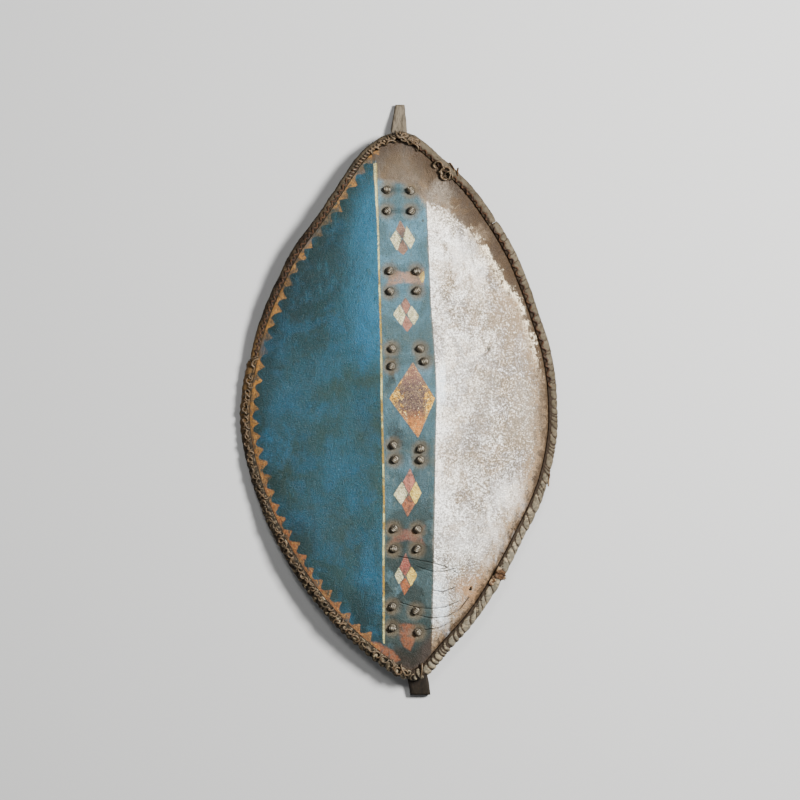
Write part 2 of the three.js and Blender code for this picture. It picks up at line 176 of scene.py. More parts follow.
def hide_outline(steps=1440):
    """The hide's edge in plan, as closely spaced points from its foot up the right side and round."""
    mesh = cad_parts["hide"].data
    places = node_points("hide")[:, :2]
    edges = np.empty(len(mesh.edges) * 2, int)
    mesh.edges.foreach_get("vertices", edges)
    a, b = places[edges[0::2]], places[edges[1::2]]
    points = []
    for angle in np.linspace(-math.pi / 2, 1.5 * math.pi, steps, endpoint=False):
        along = np.array([math.cos(angle), math.sin(angle)])
        across = np.array([-along[1], along[0]])
        side_a, side_b = a @ across, b @ across
        hit = (side_a * side_b <= 0) & (side_a != side_b)
        share = side_a[hit] / (side_a[hit] - side_b[hit])
        reach = (a[hit] @ along) * (1 - share) + (b[hit] @ along) * share
        points.append(along * reach.max())
    points = np.array(points)
    points = (np.roll(points, 2, 0) + np.roll(points, 1, 0) + points + np.roll(points, -1, 0)
              + np.roll(points, -2, 0)) / 5
    return np.roll(points, -int(points[:, 1].argmin()), 0)


outline = hide_outline()
outline_steps = np.linalg.norm(np.roll(outline, -1, 0) - outline, axis=1)
outline_lengths = np.concatenate([[0], np.cumsum(outline_steps)])
outline_total = outline_lengths[-1]
head_index = int(outline[:, 1].argmax())
head_length = outline_lengths[head_index]


def outline_at(length):
    """The plan place this far round the edge."""
    length = length % outline_total
    closed = np.vstack([outline, outline[:1]])
    return np.array([np.interp(length, outline_lengths, closed[:, k]) for k in (0, 1)])


def side_reach(side):
    return HIDE_WIDTH / 2 - side * FOOT_SHIFT * 0.5


def ridge_x(y):
    return FOOT_SHIFT * (0.5 - (y - MIDDLE_Y) / HIDE_LENGTH)


RIDGE_HEIGHT, FOOT_BOW, HEAD_BOW = 86.9, 57.9, 61.9  # fitted to the construction's own hide below


def raw_height(x, y):
    """Height of the middle of the hide's thickness, before it is set level with the construction."""
    offset = x - ridge_x(y)
    across = np.abs(offset)
    along = y / STAVE_HALF
    bow = np.where(along < 0, FOOT_BOW, HEAD_BOW) * along**2
    reach = np.where(offset < 0, side_reach(-1), side_reach(1))
    camber = CAMBER_DEPTH * (across / reach) ** CAMBER_POWER
    y_own = y - MIDDLE_Y
    boss = BOSS["height"] * bump(across / BOSS["wide"]) * bump(y_own / BOSS["long"])
    fade = 1 - smooth_step(np.abs(y_own), 0.55 * HIDE_LENGTH / 2, 0.9 * HIDE_LENGTH / 2)
    pillow = PILLOW["height"] * bump((across - PILLOW["offset"]) / PILLOW["wide"]) * fade
    return RIDGE_HEIGHT - bow - camber + boss + pillow


def level_with_construction():
    """Fits the ridge's height and the two bows to the construction's own hide."""
    global RIDGE_HEIGHT, FOOT_BOW, HEAD_BOW
    points = node_points("hide")
    rows = []
    gaps = []
    for x, y, z in points:
        if abs(x) < 200 and abs(y) < 430:
            model = float(raw_height(x, y))
            if abs(z - model) < 9:
                along = y / STAVE_HALF
                rows.append((1.0, -(along**2) if along < 0 else 0.0, -(along**2) if along >= 0 else 0.0))
                gaps.append(z - model)
    fitted = np.linalg.lstsq(np.array(rows), np.array(gaps), rcond=None)[0]
    RIDGE_HEIGHT += float(fitted[0])
    FOOT_BOW += float(fitted[1])
    HEAD_BOW += float(fitted[2])


level_with_construction()


def hide_normal(x, y):
    step = 0.5
    slope_x = (raw_height(x + step, y) - raw_height(x - step, y)) / (2 * step)
    slope_y = (raw_height(x, y + step) - raw_height(x, y - step)) / (2 * step)
    normal = np.stack([-slope_x, -slope_y, np.ones_like(slope_x)], -1)
    return normal / np.linalg.norm(normal, axis=-1, keepdims=True)


def on_hide(x, y, raise_by=0.0):
    """The place on the hide at plan x, y, this far above the middle of its thickness."""
    x, y = np.float64(x), np.float64(y)
    return np.array([x, y, raw_height(x, y)]) + hide_normal(x, y) * raise_by


# The knots' places, from the construction's lashings
def knot_places(name):
    points = node_points(name)
    middle = (points[:, 0].min() + points[:, 0].max()) / 2
    places = []
    for side in (points[:, 0] < middle, points[:, 0] >= middle):
        near = points[side]
        head = near[near[:, 2] > near[:, 2].max() - 8.5]
        places.append(((head[:, 0].min() + head[:, 0].max()) / 2, (head[:, 1].min() + head[:, 1].max()) / 2))
    return places


LASHINGS = sorted(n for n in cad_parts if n.startswith("lashing_"))
knots = {name: knot_places(name) for name in LASHINGS}
knot_list = np.array([place for pair in knots.values() for place in pair])


# Distance fields over the painted front
def polygon_distance(points, polygon):
    """Distance to a polygon's edge, positive inside it."""
    corners = np.array(polygon, float)
    nearest = np.full(len(points), 1e9)
    inside = np.zeros(len(points), bool)
    for a, b in zip(corners, np.roll(corners, -1, 0)):
        edge = b - a
        share = np.clip(((points - a) @ edge) / (edge @ edge), 0, 1)
        nearest = np.minimum(nearest, np.linalg.norm(points - a - share[:, None] * edge, axis=1))
        crosses = (a[1] > points[:, 1]) != (b[1] > points[:, 1])
        with np.errstate(divide="ignore", invalid="ignore"):
            x_cross = a[0] + (points[:, 1] - a[1]) * edge[0] / edge[1]
        inside ^= crosses & (points[:, 0] < x_cross)
    return np.where(inside, nearest, -nearest)


def shapes_distance(points, shapes):
    return np.maximum.reduce([polygon_distance(points, shape) for shape in shapes])


def line_distance(points, line):
    nearest = np.full(len(points), 1e9)
    for a, b in zip(np.array(line, float), np.array(line[1:], float)):
        edge = b - a
        share = np.clip(((points - a) @ edge) / (edge @ edge), 0, 1)
        nearest = np.minimum(nearest, np.linalg.norm(points - a - share[:, None] * edge, axis=1))
    return nearest


def line_side(points, line):
    """How far each point is from a line, and how far to its left, less than 0 to its right."""
    nearest, side = np.full(len(points), 1e9), np.zeros(len(points))
    for a, b in zip(np.array(line, float), np.array(line[1:], float)):
        edge = b - a
        away = points - a
        share = np.clip((away @ edge) / (edge @ edge), 0, 1)
        gap = np.linalg.norm(away - share[:, None] * edge, axis=1)
        left = (edge[0] * away[:, 1] - edge[1] * away[:, 0]) / np.linalg.norm(edge)
        side = np.where(gap < nearest, left, side)
        nearest = np.minimum(nearest, gap)
    return nearest, side


def edge_places(points):
    """How far each point is in from the hide's edge, and how far round the edge it lies."""
    tree = kdtree.KDTree(len(outline))
    for i, (x, y) in enumerate(outline):
        tree.insert((x, y, 0), i)
    tree.balance()
    inward = np.empty(len(points))
    round_length = np.empty(len(points))
    for i, (x, y) in enumerate(points):
        _, index, distance = tree.find((x, y, 0))
        before, after = outline[index - 1], outline[(index + 1) % len(outline)]
        tangent = (after - before) / np.linalg.norm(after - before)
        offset = np.array([x, y]) - outline[index]
        inward[i] = abs(offset[0] * -tangent[1] + offset[1] * tangent[0])
        inward[i] = distance if distance > 12 else inward[i]
        round_length[i] = outline_lengths[index] + offset @ tangent
    return inward, round_length


def teeth_distance(points, inward, round_length):
    """A row of teeth along the left side of the rim, pointing in from a narrow border."""
    place = round_length / TOOTH["pitch"]
    own = np.array([noise.noise((math.floor(p) * 1.7, 3.0, 2.0)) for p in place])
    phase = place % 1 - 0.5 + 0.12 * own
    depth = inward - RIM_INNER_REACH
    height = TOOTH["height"] * (1 + 0.55 * own)
    teeth = TOOTH["half"] * (1 + 0.3 * own) * (1 - (depth - 2) / height) - np.abs(phase) * TOOTH["pitch"]
    border = 3.2 + 3.0 * own - depth
    left = (points[:, 0] < -34) & (round_length > head_length)
    return np.where(left, np.maximum(teeth, border), -30)


def noise_at(points, scale_x, scale_y, seed):
    return np.array([noise.noise((x / scale_x, y / scale_y, seed)) for x, y in points])


# Mesh helpers
def roll_grid(bm, rows, sides, place):
    """Rolls a flat grid into a closed tube whose point at row i, side j stands at place(i, j)."""
    made = bmesh.ops.create_grid(bm, x_segments=rows, y_segments=sides, size=1)["verts"]
    for vert in made:
        i = round((vert.co.x + 1) / 2 * rows)
        j = round((vert.co.y + 1) / 2 * sides) % sides
        vert.co = place(i, j)
    bmesh.ops.remove_doubles(bm, verts=made, dist=1e-4)
    made = [vert for vert in made if vert.is_valid]
    open_edges = list(dict.fromkeys(edge for vert in made for edge in vert.link_edges if edge.is_boundary))
    bmesh.ops.holes_fill(bm, edges=open_edges, sides=0)


def along_path(points, count):
    """Evenly spaced points on a smooth path, with an axis square to it at each."""
    points = [Vector(p) for p in points]
    dense = []
    padded = [2 * points[0] - points[1]] + points + [2 * points[-1] - points[-2]]
    for k in range(1, len(padded) - 2):
        for step in range(12):
            t = step / 12
            p0, p1, p2, p3 = padded[k - 1:k + 3]
            dense.append(0.5 * (2 * p1 + (p2 - p0) * t + (2 * p0 - 5 * p1 + 4 * p2 - p3) * t * t
                                + (3 * p1 - p0 - 3 * p2 + p3) * t**3))
    dense.append(points[-1])
    lengths = np.concatenate([[0], np.cumsum([(b - a).length for a, b in zip(dense, dense[1:])])])
    array = np.array(dense)
    wanted = np.linspace(0, lengths[-1], count)
    places = [Vector([np.interp(w, lengths, array[:, k]) for k in range(3)]) for w in wanted]
    tangents = [(places[min(i + 1, count - 1)] - places[max(i - 1, 0)]).normalized() for i in range(count)]
    side = tangents[0].orthogonal().normalized()
    sides = []
    for tangent in tangents:
        side = (side - tangent * side.dot(tangent)).normalized()
        sides.append(side)
    return places, tangents, sides


def strand(bm, points, radius, count, sides=8, twist=0.0, flat=1.0, rough=0.0, seed=0.0):
    """A thong along a path, with rounded ends, twisted and a little uneven."""
    places, tangents, axes = along_path(points, count)

    def place(i, j):
        end = min(i, count - 1 - i)
        full = (0.05, 0.62, 0.88, 1.0)[min(end, 3)]
        angle = 2 * math.pi * j / sides + twist * i
        uneven = 1 + rough * noise.noise((seed + i * 0.35, j * 0.9, seed * 1.7))
        across = tangents[i].cross(axes[i])
        reach = radius * full * uneven
        return places[i] + axes[i] * math.cos(angle) * reach + across * math.sin(angle) * reach * flat

    roll_grid(bm, count - 1, sides, place)


def finish_piece(bm, name, material, replaces=(), slot=None):
    """Turns a mesh worked out in millimetres into a finished piece of the shield."""
    bmesh.ops.recalc_face_normals(bm, faces=bm.faces)
    if slot == "thong_leather":
        rubbed_and_lit = bm.verts.layers.float.new("rubbed_and_lit")
        bm.normal_update()
        for vert in bm.verts:
            # paler on top for wear, and on the side facing the key light as a painted highlight
            vert[rubbed_and_lit] = 0.92 * vert.normal.z + 0.36 * vert.normal.x + 0.15 * vert.normal.y
    bmesh.ops.transform(bm, matrix=Matrix.Scale(MM, 4), verts=bm.verts)
    for face in bm.faces:
        face.smooth = True
    mesh = bpy.data.meshes.new(name)
    bm.to_mesh(mesh)
    bm.free()
    piece = bpy.data.objects.new(name, mesh)
    bpy.context.scene.collection.objects.link(piece)
    mesh.materials.append(material)
    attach(piece, "root")
    if replaces:
        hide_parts(*replaces)
    return piece


# Material helper
class Finish:
    """A node material under construction."""

    def __init__(self, name):
        self.material = bpy.data.materials.new(name)
        self.material.use_nodes = True
        self.nodes = self.material.node_tree.nodes
        self.links = self.material.node_tree.links
        self.shader = self.nodes["Principled BSDF"]
        self.place = self.nodes.new("ShaderNodeTexCoord").outputs["Object"]

    def put(self, socket, value):
        if isinstance(value, bpy.types.NodeSocket):
            self.links.new(value, socket)
        elif isinstance(value, tuple) and len(value) == 3 and socket.type == "RGBA":
            socket.default_value = (*value, 1)
        else:
            socket.default_value = value

    def attribute(self, name):
        node = self.nodes.new("ShaderNodeAttribute")
        node.attribute_name = name
        return node.outputs["Fac"]

    def math(self, kind, a, b=0.0, c=0.0):
        node = self.nodes.new("ShaderNodeMath")
        node.operation = kind
        for socket, value in zip(node.inputs, (a, b, c)):
            self.put(socket, value)
        return node.outputs[0]

    def both(self, a, b):
        return self.math("MULTIPLY", a, b)

    def scaled(self, value, scale, plus):
        return self.math("MULTIPLY_ADD", value, scale, plus)

    def axes(self):
        """How far across and how far up the shield a place is."""
        node = self.nodes.new("ShaderNodeSeparateXYZ")
        self.links.new(self.place, node.inputs[0])
        return node.outputs[0], node.outputs[1]

    def stretch(self, scale, turn=0.0):
        node = self.nodes.new("ShaderNodeMapping")
        node.inputs["Scale"].default_value = scale
        node.inputs["Rotation"].default_value = (0, 0, turn)
        self.links.new(self.place, node.inputs["Vector"])
        return node.outputs[0]

    def noise(self, scale, detail=4.0, rough=0.55, warp=0.0, stretch=(1, 1, 1), turn=0.0):
        node = self.nodes.new("ShaderNodeTexNoise")
        self.links.new(self.stretch(stretch, turn), node.inputs["Vector"])
        for key, value in (("Scale", scale), ("Detail", detail), ("Roughness", rough), ("Distortion", warp)):
            node.inputs[key].default_value = value
        return node.outputs["Fac"]

    def ramp(self, value, low, high, out_low=0.0, out_high=1.0):
        node = self.nodes.new("ShaderNodeMapRange")
        node.interpolation_type = "SMOOTHSTEP"
        self.put(node.inputs["Value"], value)
        for key, number in (("From Min", low), ("From Max", high), ("To Min", out_low), ("To Max", out_high)):
            node.inputs[key].default_value = number
        return node.outputs[0]

    def mix(self, share, a, b):
        node = self.nodes.new("ShaderNodeMix")
        node.data_type = "RGBA"
        self.put(node.inputs["Factor"], share)
        self.put(node.inputs[6], a)
        self.put(node.inputs[7], b)
        return node.outputs[2]

    def coats(self, color, rows):
        """Lays tones over a colour: each row holds a tone and its share, or a tone, a value, the
        value's low and high ends for a ramp, and the ramp's full share where it isn't 1."""
        for tone, value, *span in rows:
            share = self.ramp(value, span[0], span[1], 0.0, *span[2:]) if span else value
            color = self.mix(share, color, tone)
        return color

    def bands(self, value, stops):
        """Colours one after another along a value from 0 to 1."""
        node = self.nodes.new("ShaderNodeValToRGB")
        elements = node.color_ramp.elements
        elements[0].position, elements[1].position = stops[0][0], stops[-1][0]
        elements[0].color, elements[1].color = (*stops[0][1], 1), (*stops[-1][1], 1)
        for position, color in stops[1:-1]:
            elements.new(position).color = (*color, 1)
        self.put(node.inputs[0], value)
        return node.outputs[0]

    def bump(self, height, strength, distance):
        node = self.nodes.new("ShaderNodeBump")
        node.inputs["Strength"].default_value = strength
        node.inputs["Distance"].default_value = distance
        self.put(node.inputs["Height"], height)
        return node.outputs[0]

    def finish(self, color, roughness, normal, specular):
        self.put(self.shader.inputs["Base Color"], color)
        self.put(self.shader.inputs["Roughness"], roughness)
        self.shader.inputs["Specular IOR Level"].default_value = specular
        self.links.new(normal, self.shader.inputs["Normal"])
        return self.material


def painted_front():
    """Blue and white earth paint with a patterned band, rubbed down to the hide in places."""
    f = Finish("painted_front")
    cloud = f.noise(5.5, 4, 0.55, 0.6)
    blotch = f.noise(13, 5, 0.6, 0.6)
    streak = f.noise(34, 6, 0.62, 0.3, stretch=(2.2, 0.8, 1))
    rub = f.noise(85, 7, 0.68, 0.8, stretch=(1.3, 0.9, 1))
    worm = f.noise(210, 4, 0.65, 2.2)
    grain = f.noise(480, 4, 0.7, 0.4)
    wander = f.scaled(f.noise(170, 4, 0.65), 3.4, -1.7)
    wobble = f.scaled(f.noise(32, 3, 0.5), 4.4, -2.2)
    across, up = f.axes()
    stripe_side, band_side, lip = f.attribute("stripe_side"), f.attribute("band_side"), f.attribute("lip")

    def inside(name, soft=0.5, ragged=1.0):
        field = f.scaled(wander, ragged, f.attribute(name))
        field = f.scaled(wobble, 0.3 * ragged, field)
        return f.ramp(field, -soft, soft)

    def patch(x, y, wide, tall):
        """1 at the middle of a soft round place on the hide, 0 outside it."""
        away_x = f.both(f.math("SUBTRACT", across, x), 1 / wide)
        away_y = f.both(f.math("SUBTRACT", up, y), 1 / tall)
        away = f.scaled(away_x, away_x, f.both(away_y, away_y))
        return f.ramp(f.scaled(streak, 3.5, away), 2.7, 1.5)

    # Blue half: a painted highlight beside the stripe in its upper part and painted shade towards the rim,
    # where the hide turns from the light; dull and green there too
    blue = f.mix(f.ramp(cloud, 0.36, 0.64), (0.011, 0.035, 0.036), (0.011, 0.047, 0.065))
    blue = f.coats(blue, (
        ((0.014, 0.061, 0.091), blotch, 0.52, 0.64, 0.6),
        ((0.014, 0.029, 0.022), blotch, 0.5, 0.36, 0.6),
    ))
    upper = f.both(f.ramp(up, 0.02, 0.14), f.ramp(up, 0.44, 0.34, 0.35, 1.0))
    # painted highlight: the upper blue is lightened beside the stripe, where the ridge faces the light
    painted_stripe_highlight = f.both(f.ramp(stripe_side, 88, 8), upper)
    blue = f.mix(f.both(painted_stripe_highlight, f.ramp(cloud, 0.3, 0.58, 0.45, 1.0)), blue, (0.014, 0.074, 0.118))
    low = f.both(f.ramp(stripe_side, 75, 10), f.both(f.ramp(up, -0.42, -0.33), f.ramp(up, -0.18, -0.26)))
    blue = f.mix(f.both(low, f.ramp(cloud, 0.34, 0.6, 0.2, 0.8)), blue, (0.01, 0.05, 0.082))
    # painted shade: the upper blue is darkened far from the stripe, and the blue along the rim, where the
    # hide turns from the light
    dark = f.both(f.ramp(stripe_side, 30, 115), f.ramp(up, 0.03, 0.15))
    blue = f.coats(blue, (
        ((0.003, 0.017, 0.018), f.both(dark, 0.8)),
        ((0.003, 0.018, 0.024), up, -0.33, -0.44, 0.75),
        ((0.004, 0.014, 0.013), f.both(f.ramp(lip, 60, 4), f.ramp(up, -0.1, 0.15, 0.5, 0.85))),
        ((0.008, 0.052, 0.088), f.noise(26, 5, 0.6, 0.3), 0.46, 0.66, 0.55),
        ((0.011, 0.048, 0.065), streak, 0.53, 0.66, 0.45),
        ((0.019, 0.035, 0.022), rub, 0.57, 0.68, 0.5),
        ((0.014, 0.053, 0.069), worm, 0.54, 0.64, 0.25),
        ((0.003, 0.013, 0.017), worm, 0.46, 0.36, 0.5),
    ))

    # Band behind the figures: clear blue at the head, grey-green at the foot
    band = f.bands(f.math("ADD", up, 0.5), [
        (0.05, (0.027, 0.04, 0.036)), (0.35, (0.033, 0.065, 0.074)),
        (0.62, (0.043, 0.091, 0.11)), (0.85, (0.06, 0.134, 0.173))])
    band = f.coats(band, (
        ((0.049, 0.087, 0.092), blotch, 0.44, 0.62, 0.65),
        ((0.083, 0.108, 0.096), rub, 0.53, 0.66, 0.6),
        ((0.071, 0.157, 0.202), streak, 0.52, 0.72, 0.45),
        ((0.017, 0.031, 0.035), worm, 0.48, 0.38, 0.55),
    ))
    dull = f.both(f.ramp(blotch, 0.44, 0.56), f.ramp(up, -0.06, -0.3, 0.35, 0.9))
    band = f.coats(band, (
        ((0.013, 0.02, 0.018), dull),
        ((0.013, 0.02, 0.018), up, -0.36, -0.44, 0.6),
    ))
    color = f.mix(f.ramp(stripe_side, 0.4, -0.4), blue, band)
    soiled = f.both(f.ramp(f.scaled(wander, 3.0, lip), 34, 14), f.ramp(up, -0.395, -0.435))
    color = f.mix(f.both(soiled, f.ramp(across, -0.02, 0.005, 0.0, 0.8)), color, (0.03, 0.019, 0.014))

    # Bare hide at the head and down the right margin
    bare = f.mix(f.ramp(cloud, 0.42, 0.58), (0.158, 0.099, 0.05), (0.216, 0.152, 0.091))
    bare = f.mix(f.ramp(blotch, 0.5, 0.6, 0.0, 0.8), bare, (0.089, 0.068, 0.052))
    upright = f.noise(40, 4, 0.6, 0.3, stretch=(1, 0.28, 1))
    bare = f.coats(bare, (
        ((0.12, 0.1, 0.084), upright, 0.5, 0.62, 0.6),
        ((0.07, 0.043, 0.022), upright, 0.46, 0.36, 0.6),
        ((0.066, 0.047, 0.027), up, 0.34, 0.45, 0.8),
        ((0.114, 0.096, 0.074), f.both(f.ramp(blotch, 0.52, 0.44), f.ramp(up, 0.3, 0.4, 0.0, 0.6))),
        ((0.06, 0.035, 0.017), worm, 0.47, 0.57, 0.5),
        ((0.267, 0.203, 0.124),
         f.both(f.ramp(rub, 0.54, 0.62), f.ramp(f.attribute("white"), -40, -4, 0.05, 0.7))),
        ((0.06, 0.041, 0.021), streak, 0.48, 0.38, 0.5),
        ((0.034, 0.018, 0.008), lip, 50, 4, 0.85),
    ))
    color = f.mix(f.both(inside("bare", 5.0, 2.4), 0.94), color, bare)

    # White half: chalk rubbed through to grey and brown, cleanest and brightest beside the band, partly as a
    # painted highlight where the hide there faces the light
    white = f.mix(f.ramp(cloud, 0.42, 0.58), (0.84, 0.74, 0.61), (0.97, 0.94, 0.89))
    white = f.mix(f.ramp(up, -0.2, -0.36, 0.0, 0.6), white, (0.68, 0.84, 0.9))
    # cleaner paint beside the band, and partly a painted highlight there
    clean_and_highlit = f.ramp(band_side, 2, 30, -0.05, 0.0)
    pits = f.noise(300, 3, 0.75, 0.5)
    field = f.scaled(cloud, 0.5, f.both(blotch, 0.5))
    field = f.math("ADD", field, f.ramp(lip, 110, 10, 0.0, 0.1))
    field = f.math("ADD", field, clean_and_highlit)
    for x, y, wide, tall, soil in ((0.205, 0.045, 0.09, 0.17, 0.1), (0.11, 0.255, 0.09, 0.09, -0.1),
                                   (0.205, -0.185, 0.07, 0.08, -0.1), (0.15, -0.06, 0.05, 0.08, 0.04)):
        field = f.scaled(patch(x, y, wide, tall), soil, field)
    tan_cloud = f.math("ADD", f.noise(17, 5, 0.68, 0.7), clean_and_highlit)
    for x, y, wide, tall, soil in ((0.19, 0.125, 0.08, 0.11, 0.08), (0.085, -0.045, 0.05, 0.13, 0.04),
                                   (0.21, 0.0, 0.07, 0.2, 0.04)):
        tan_cloud = f.scaled(patch(x, y, wide, tall), soil, tan_cloud)
    grey_cloud = f.scaled(clean_and_highlit, 0.5, f.noise(14, 5, 0.68, 0.9, turn=0.8))
    for x, y, wide, tall, soil in ((0.16, 0.02, 0.07, 0.16, 0.08), (0.235, 0.06, 0.05, 0.08, 0.05)):
        grey_cloud = f.scaled(patch(x, y, wide, tall), soil, grey_cloud)
    light = f.mix(f.ramp(field, 0.46, 0.61, 0.0, 0.8), white, (0.5, 0.43, 0.32))
    light = f.coats(light, (
        ((0.4, 0.29, 0.185), tan_cloud, 0.47, 0.57, 0.85),
        ((0.3, 0.28, 0.275), grey_cloud, 0.48, 0.58, 0.8),
    ))
    dark = f.mix(f.ramp(field, 0.44, 0.58), (0.27, 0.25, 0.205), (0.115, 0.094, 0.066))
    speckle = f.scaled(pits, 0.55, f.both(worm, 0.45))
    speckle = f.scaled(clean_and_highlit, 0.3, f.scaled(field, 0.16, speckle))
    chalk = f.mix(f.ramp(speckle, 0.566, 0.612, 0.0, 0.9), light, dark)
    chalk = f.coats(chalk, (
        ((1.0, 0.975, 0.91), speckle, 0.552, 0.515, 0.8),
        ((0.19, 0.135, 0.088), f.math("ADD", rub, clean_and_highlit), 0.53, 0.63, 0.55),
    ))
    crazed = f.math("ABSOLUTE", f.math("SUBTRACT", f.noise(95, 5, 0.6, 1.4), 0.5))
    chalk = f.mix(f.ramp(crazed, 0.012, 0.002, 0.0, 0.55), chalk, (0.16, 0.12, 0.09))
    margin = f.scaled(wobble, 3.0, f.scaled(wander, 3.0, lip))
    chalk = f.mix(f.both(f.ramp(margin, 46, 8), f.ramp(rub, 0.4, 0.56, 0.4, 0.9)), chalk, (0.23, 0.15, 0.08))
    ragged = f.scaled(f.math("SUBTRACT", rub, 0.5), 60, f.attribute("white"))
    ragged = f.scaled(f.math("SUBTRACT", worm, 0.5), 40, ragged)
    # painted highlight: a cream line along the chipped upper edge of the white paint
    chipped_edge_highlight = f.both(f.ramp(ragged, 12, 2), f.both(f.ramp(up, 0.02, 0.1), f.ramp(across, 0.11, 0.15)))
    chalk = f.mix(f.both(chipped_edge_highlight, f.ramp(rub, 0.47, 0.53, 0.1, 1.0)), chalk, (1.0, 0.86, 0.62))
    stain = f.scaled(wander, 3.0, f.attribute("hole"))
    stain = f.scaled(wobble, 4.0, stain)
    chalk = f.mix(f.both(f.ramp(stain, 42, 8), f.ramp(rub, 0.42, 0.58, 0.4, 0.9)), chalk, (0.27, 0.15, 0.07))
    crisp = f.ramp(f.scaled(wander, 0.5, band_side), -0.5, 0.5)
    faded = f.mix(f.ramp(up, 0.02, 0.1), f.ramp(ragged, -11, 9), f.ramp(ragged, -3.5, 3.5))
    color = f.mix(f.both(faded, crisp), color, chalk)

    # Stains and rubbed places, with painted highlights and painted shade among them
    for number, (x, y, wide, tall, tone, strength) in enumerate(STAINS):
        soft = patch(x * MM, y * MM, wide * MM, tall * MM)
        soft = f.both(soft, f.ramp((streak, blotch, rub)[number % 3], 0.4, 0.54, 0.55, 1.0))
        soft = f.both(soft, f.ramp(pits, 0.42, 0.56, 0.45, 1.0))
        color = f.mix(f.both(soft, strength), color, TONES[tone])

    # Rust, cream and gold figures
    rust, crimson, brick = (0.23, 0.061, 0.014), (0.176, 0.04, 0.031), (0.202, 0.065, 0.026)
    rose, worn_red = (0.3, 0.1, 0.068), (0.133, 0.074, 0.048)
    red = f.bands(f.math("ADD", up, 0.5), [
        (0.18, rust), (0.185, crimson), (0.235, crimson), (0.3, brick), (0.329, brick),
        (0.334, rose), (0.5, rose), (0.76, worn_red)])
    red = f.coats(red, (
        ((0.289, 0.166, 0.106), worm, 0.5, 0.6, 0.5),
        ((0.05, 0.029, 0.023), rub, 0.48, 0.6, 0.7),
    ))
    smudge = f.bands(f.math("ADD", up, 0.5), [
        (0.12, (0.148, 0.042, 0.014)), (0.22, (0.105, 0.034, 0.022)), (0.3, (0.105, 0.034, 0.022)),
        (0.68, (0.23, 0.13, 0.088))])
    smudge = f.mix(f.ramp(worm, 0.48, 0.56, 0.0, 0.45), smudge, (0.144, 0.101, 0.071))
    worn = f.scaled(wander, 1.4, f.attribute("smudge"))
    color = f.mix(f.both(f.ramp(worn, -3.5, 2.5), f.ramp(rub, 0.62, 0.5, 0.35, 0.9)), color, smudge)
    cream = f.mix(f.ramp(rub, 0.46, 0.58), (0.361, 0.336, 0.176), (0.16, 0.147, 0.074))
    cream = f.mix(f.ramp(worm, 0.5, 0.58, 0.0, 0.8), cream, (0.588, 0.538, 0.369))
    gold = f.mix(f.ramp(worm, 0.46, 0.56), (0.386, 0.235, 0.033), (0.521, 0.395, 0.115))
    gold = f.mix(f.ramp(rub, 0.5, 0.6, 0.0, 0.7), gold, (0.185, 0.134, 0.033))
    color = f.coats(color, (
        (red, f.both(inside("rust", 0.8, 0.8), f.ramp(rub, 0.72, 0.6, 0.2, 0.94))),
        (cream, f.both(inside("cream", 0.6, 0.6), f.ramp(rub, 0.74, 0.64, 0.45, 1.0))),
        (gold, f.both(inside("gold", 0.6, 0.6), f.ramp(rub, 0.74, 0.6, 0.4, 1.0))),
    ))

    # Large figure: plum ground, gold corners, an orange point
    fleck = f.noise(300, 3, 0.6, 1.2)
    plum = f.mix(f.ramp(fleck, 0.44, 0.56), (0.04, 0.024, 0.021), (0.101, 0.062, 0.048))
    plum = f.mix(f.ramp(up, 0.02, 0.05, 0.0, 0.75), plum, (0.16, 0.071, 0.049))
    point = f.both(f.ramp(up, -0.012, -0.05), f.ramp(fleck, 0.42, 0.54, 0.35, 1.0))
    plum = f.mix(point, plum, (0.42, 0.143, 0.025))
    edge = f.both(f.ramp(f.attribute("big"), 6, 1), f.ramp(fleck, 0.5, 0.56))
    plum = f.mix(f.both(edge, 0.85), plum, (0.311, 0.166, 0.053))
    reach = f.math("ABSOLUTE", f.math("ADD", across, -0.0236))
    reach = f.scaled(f.math("ABSOLUTE", up), -0.16, reach)
    reach = f.scaled(f.noise(110, 5, 0.7, 0.5), 0.11, reach)
    gilt = f.mix(f.ramp(f.noise(260, 3, 0.7), 0.44, 0.56), (0.47, 0.227, 0.008), (0.134, 0.067, 0.018))
    gilt = f.mix(f.ramp(fleck, 0.57, 0.63), gilt, (0.756, 0.588, 0.205))
    plum = f.mix(f.ramp(reach, 0.0765, 0.0825), plum, gilt)
    veins = f.math("ABSOLUTE", f.math("SUBTRACT", f.noise(75, 4, 0.6, 1.0), 0.5))
    plum = f.coats(plum, (
        ((0.47, 0.328, 0.115), veins, 0.008, 0.002, 0.8),
        ((0.549, 0.433, 0.239), f.noise(230, 2, 0.5, 2.0), 0.665, 0.7, 0.9),
    ))
    color = f.mix(f.both(inside("big", 0.8, 0.8), f.ramp(rub, 0.78, 0.66, 0.35, 0.97)), color, plum)

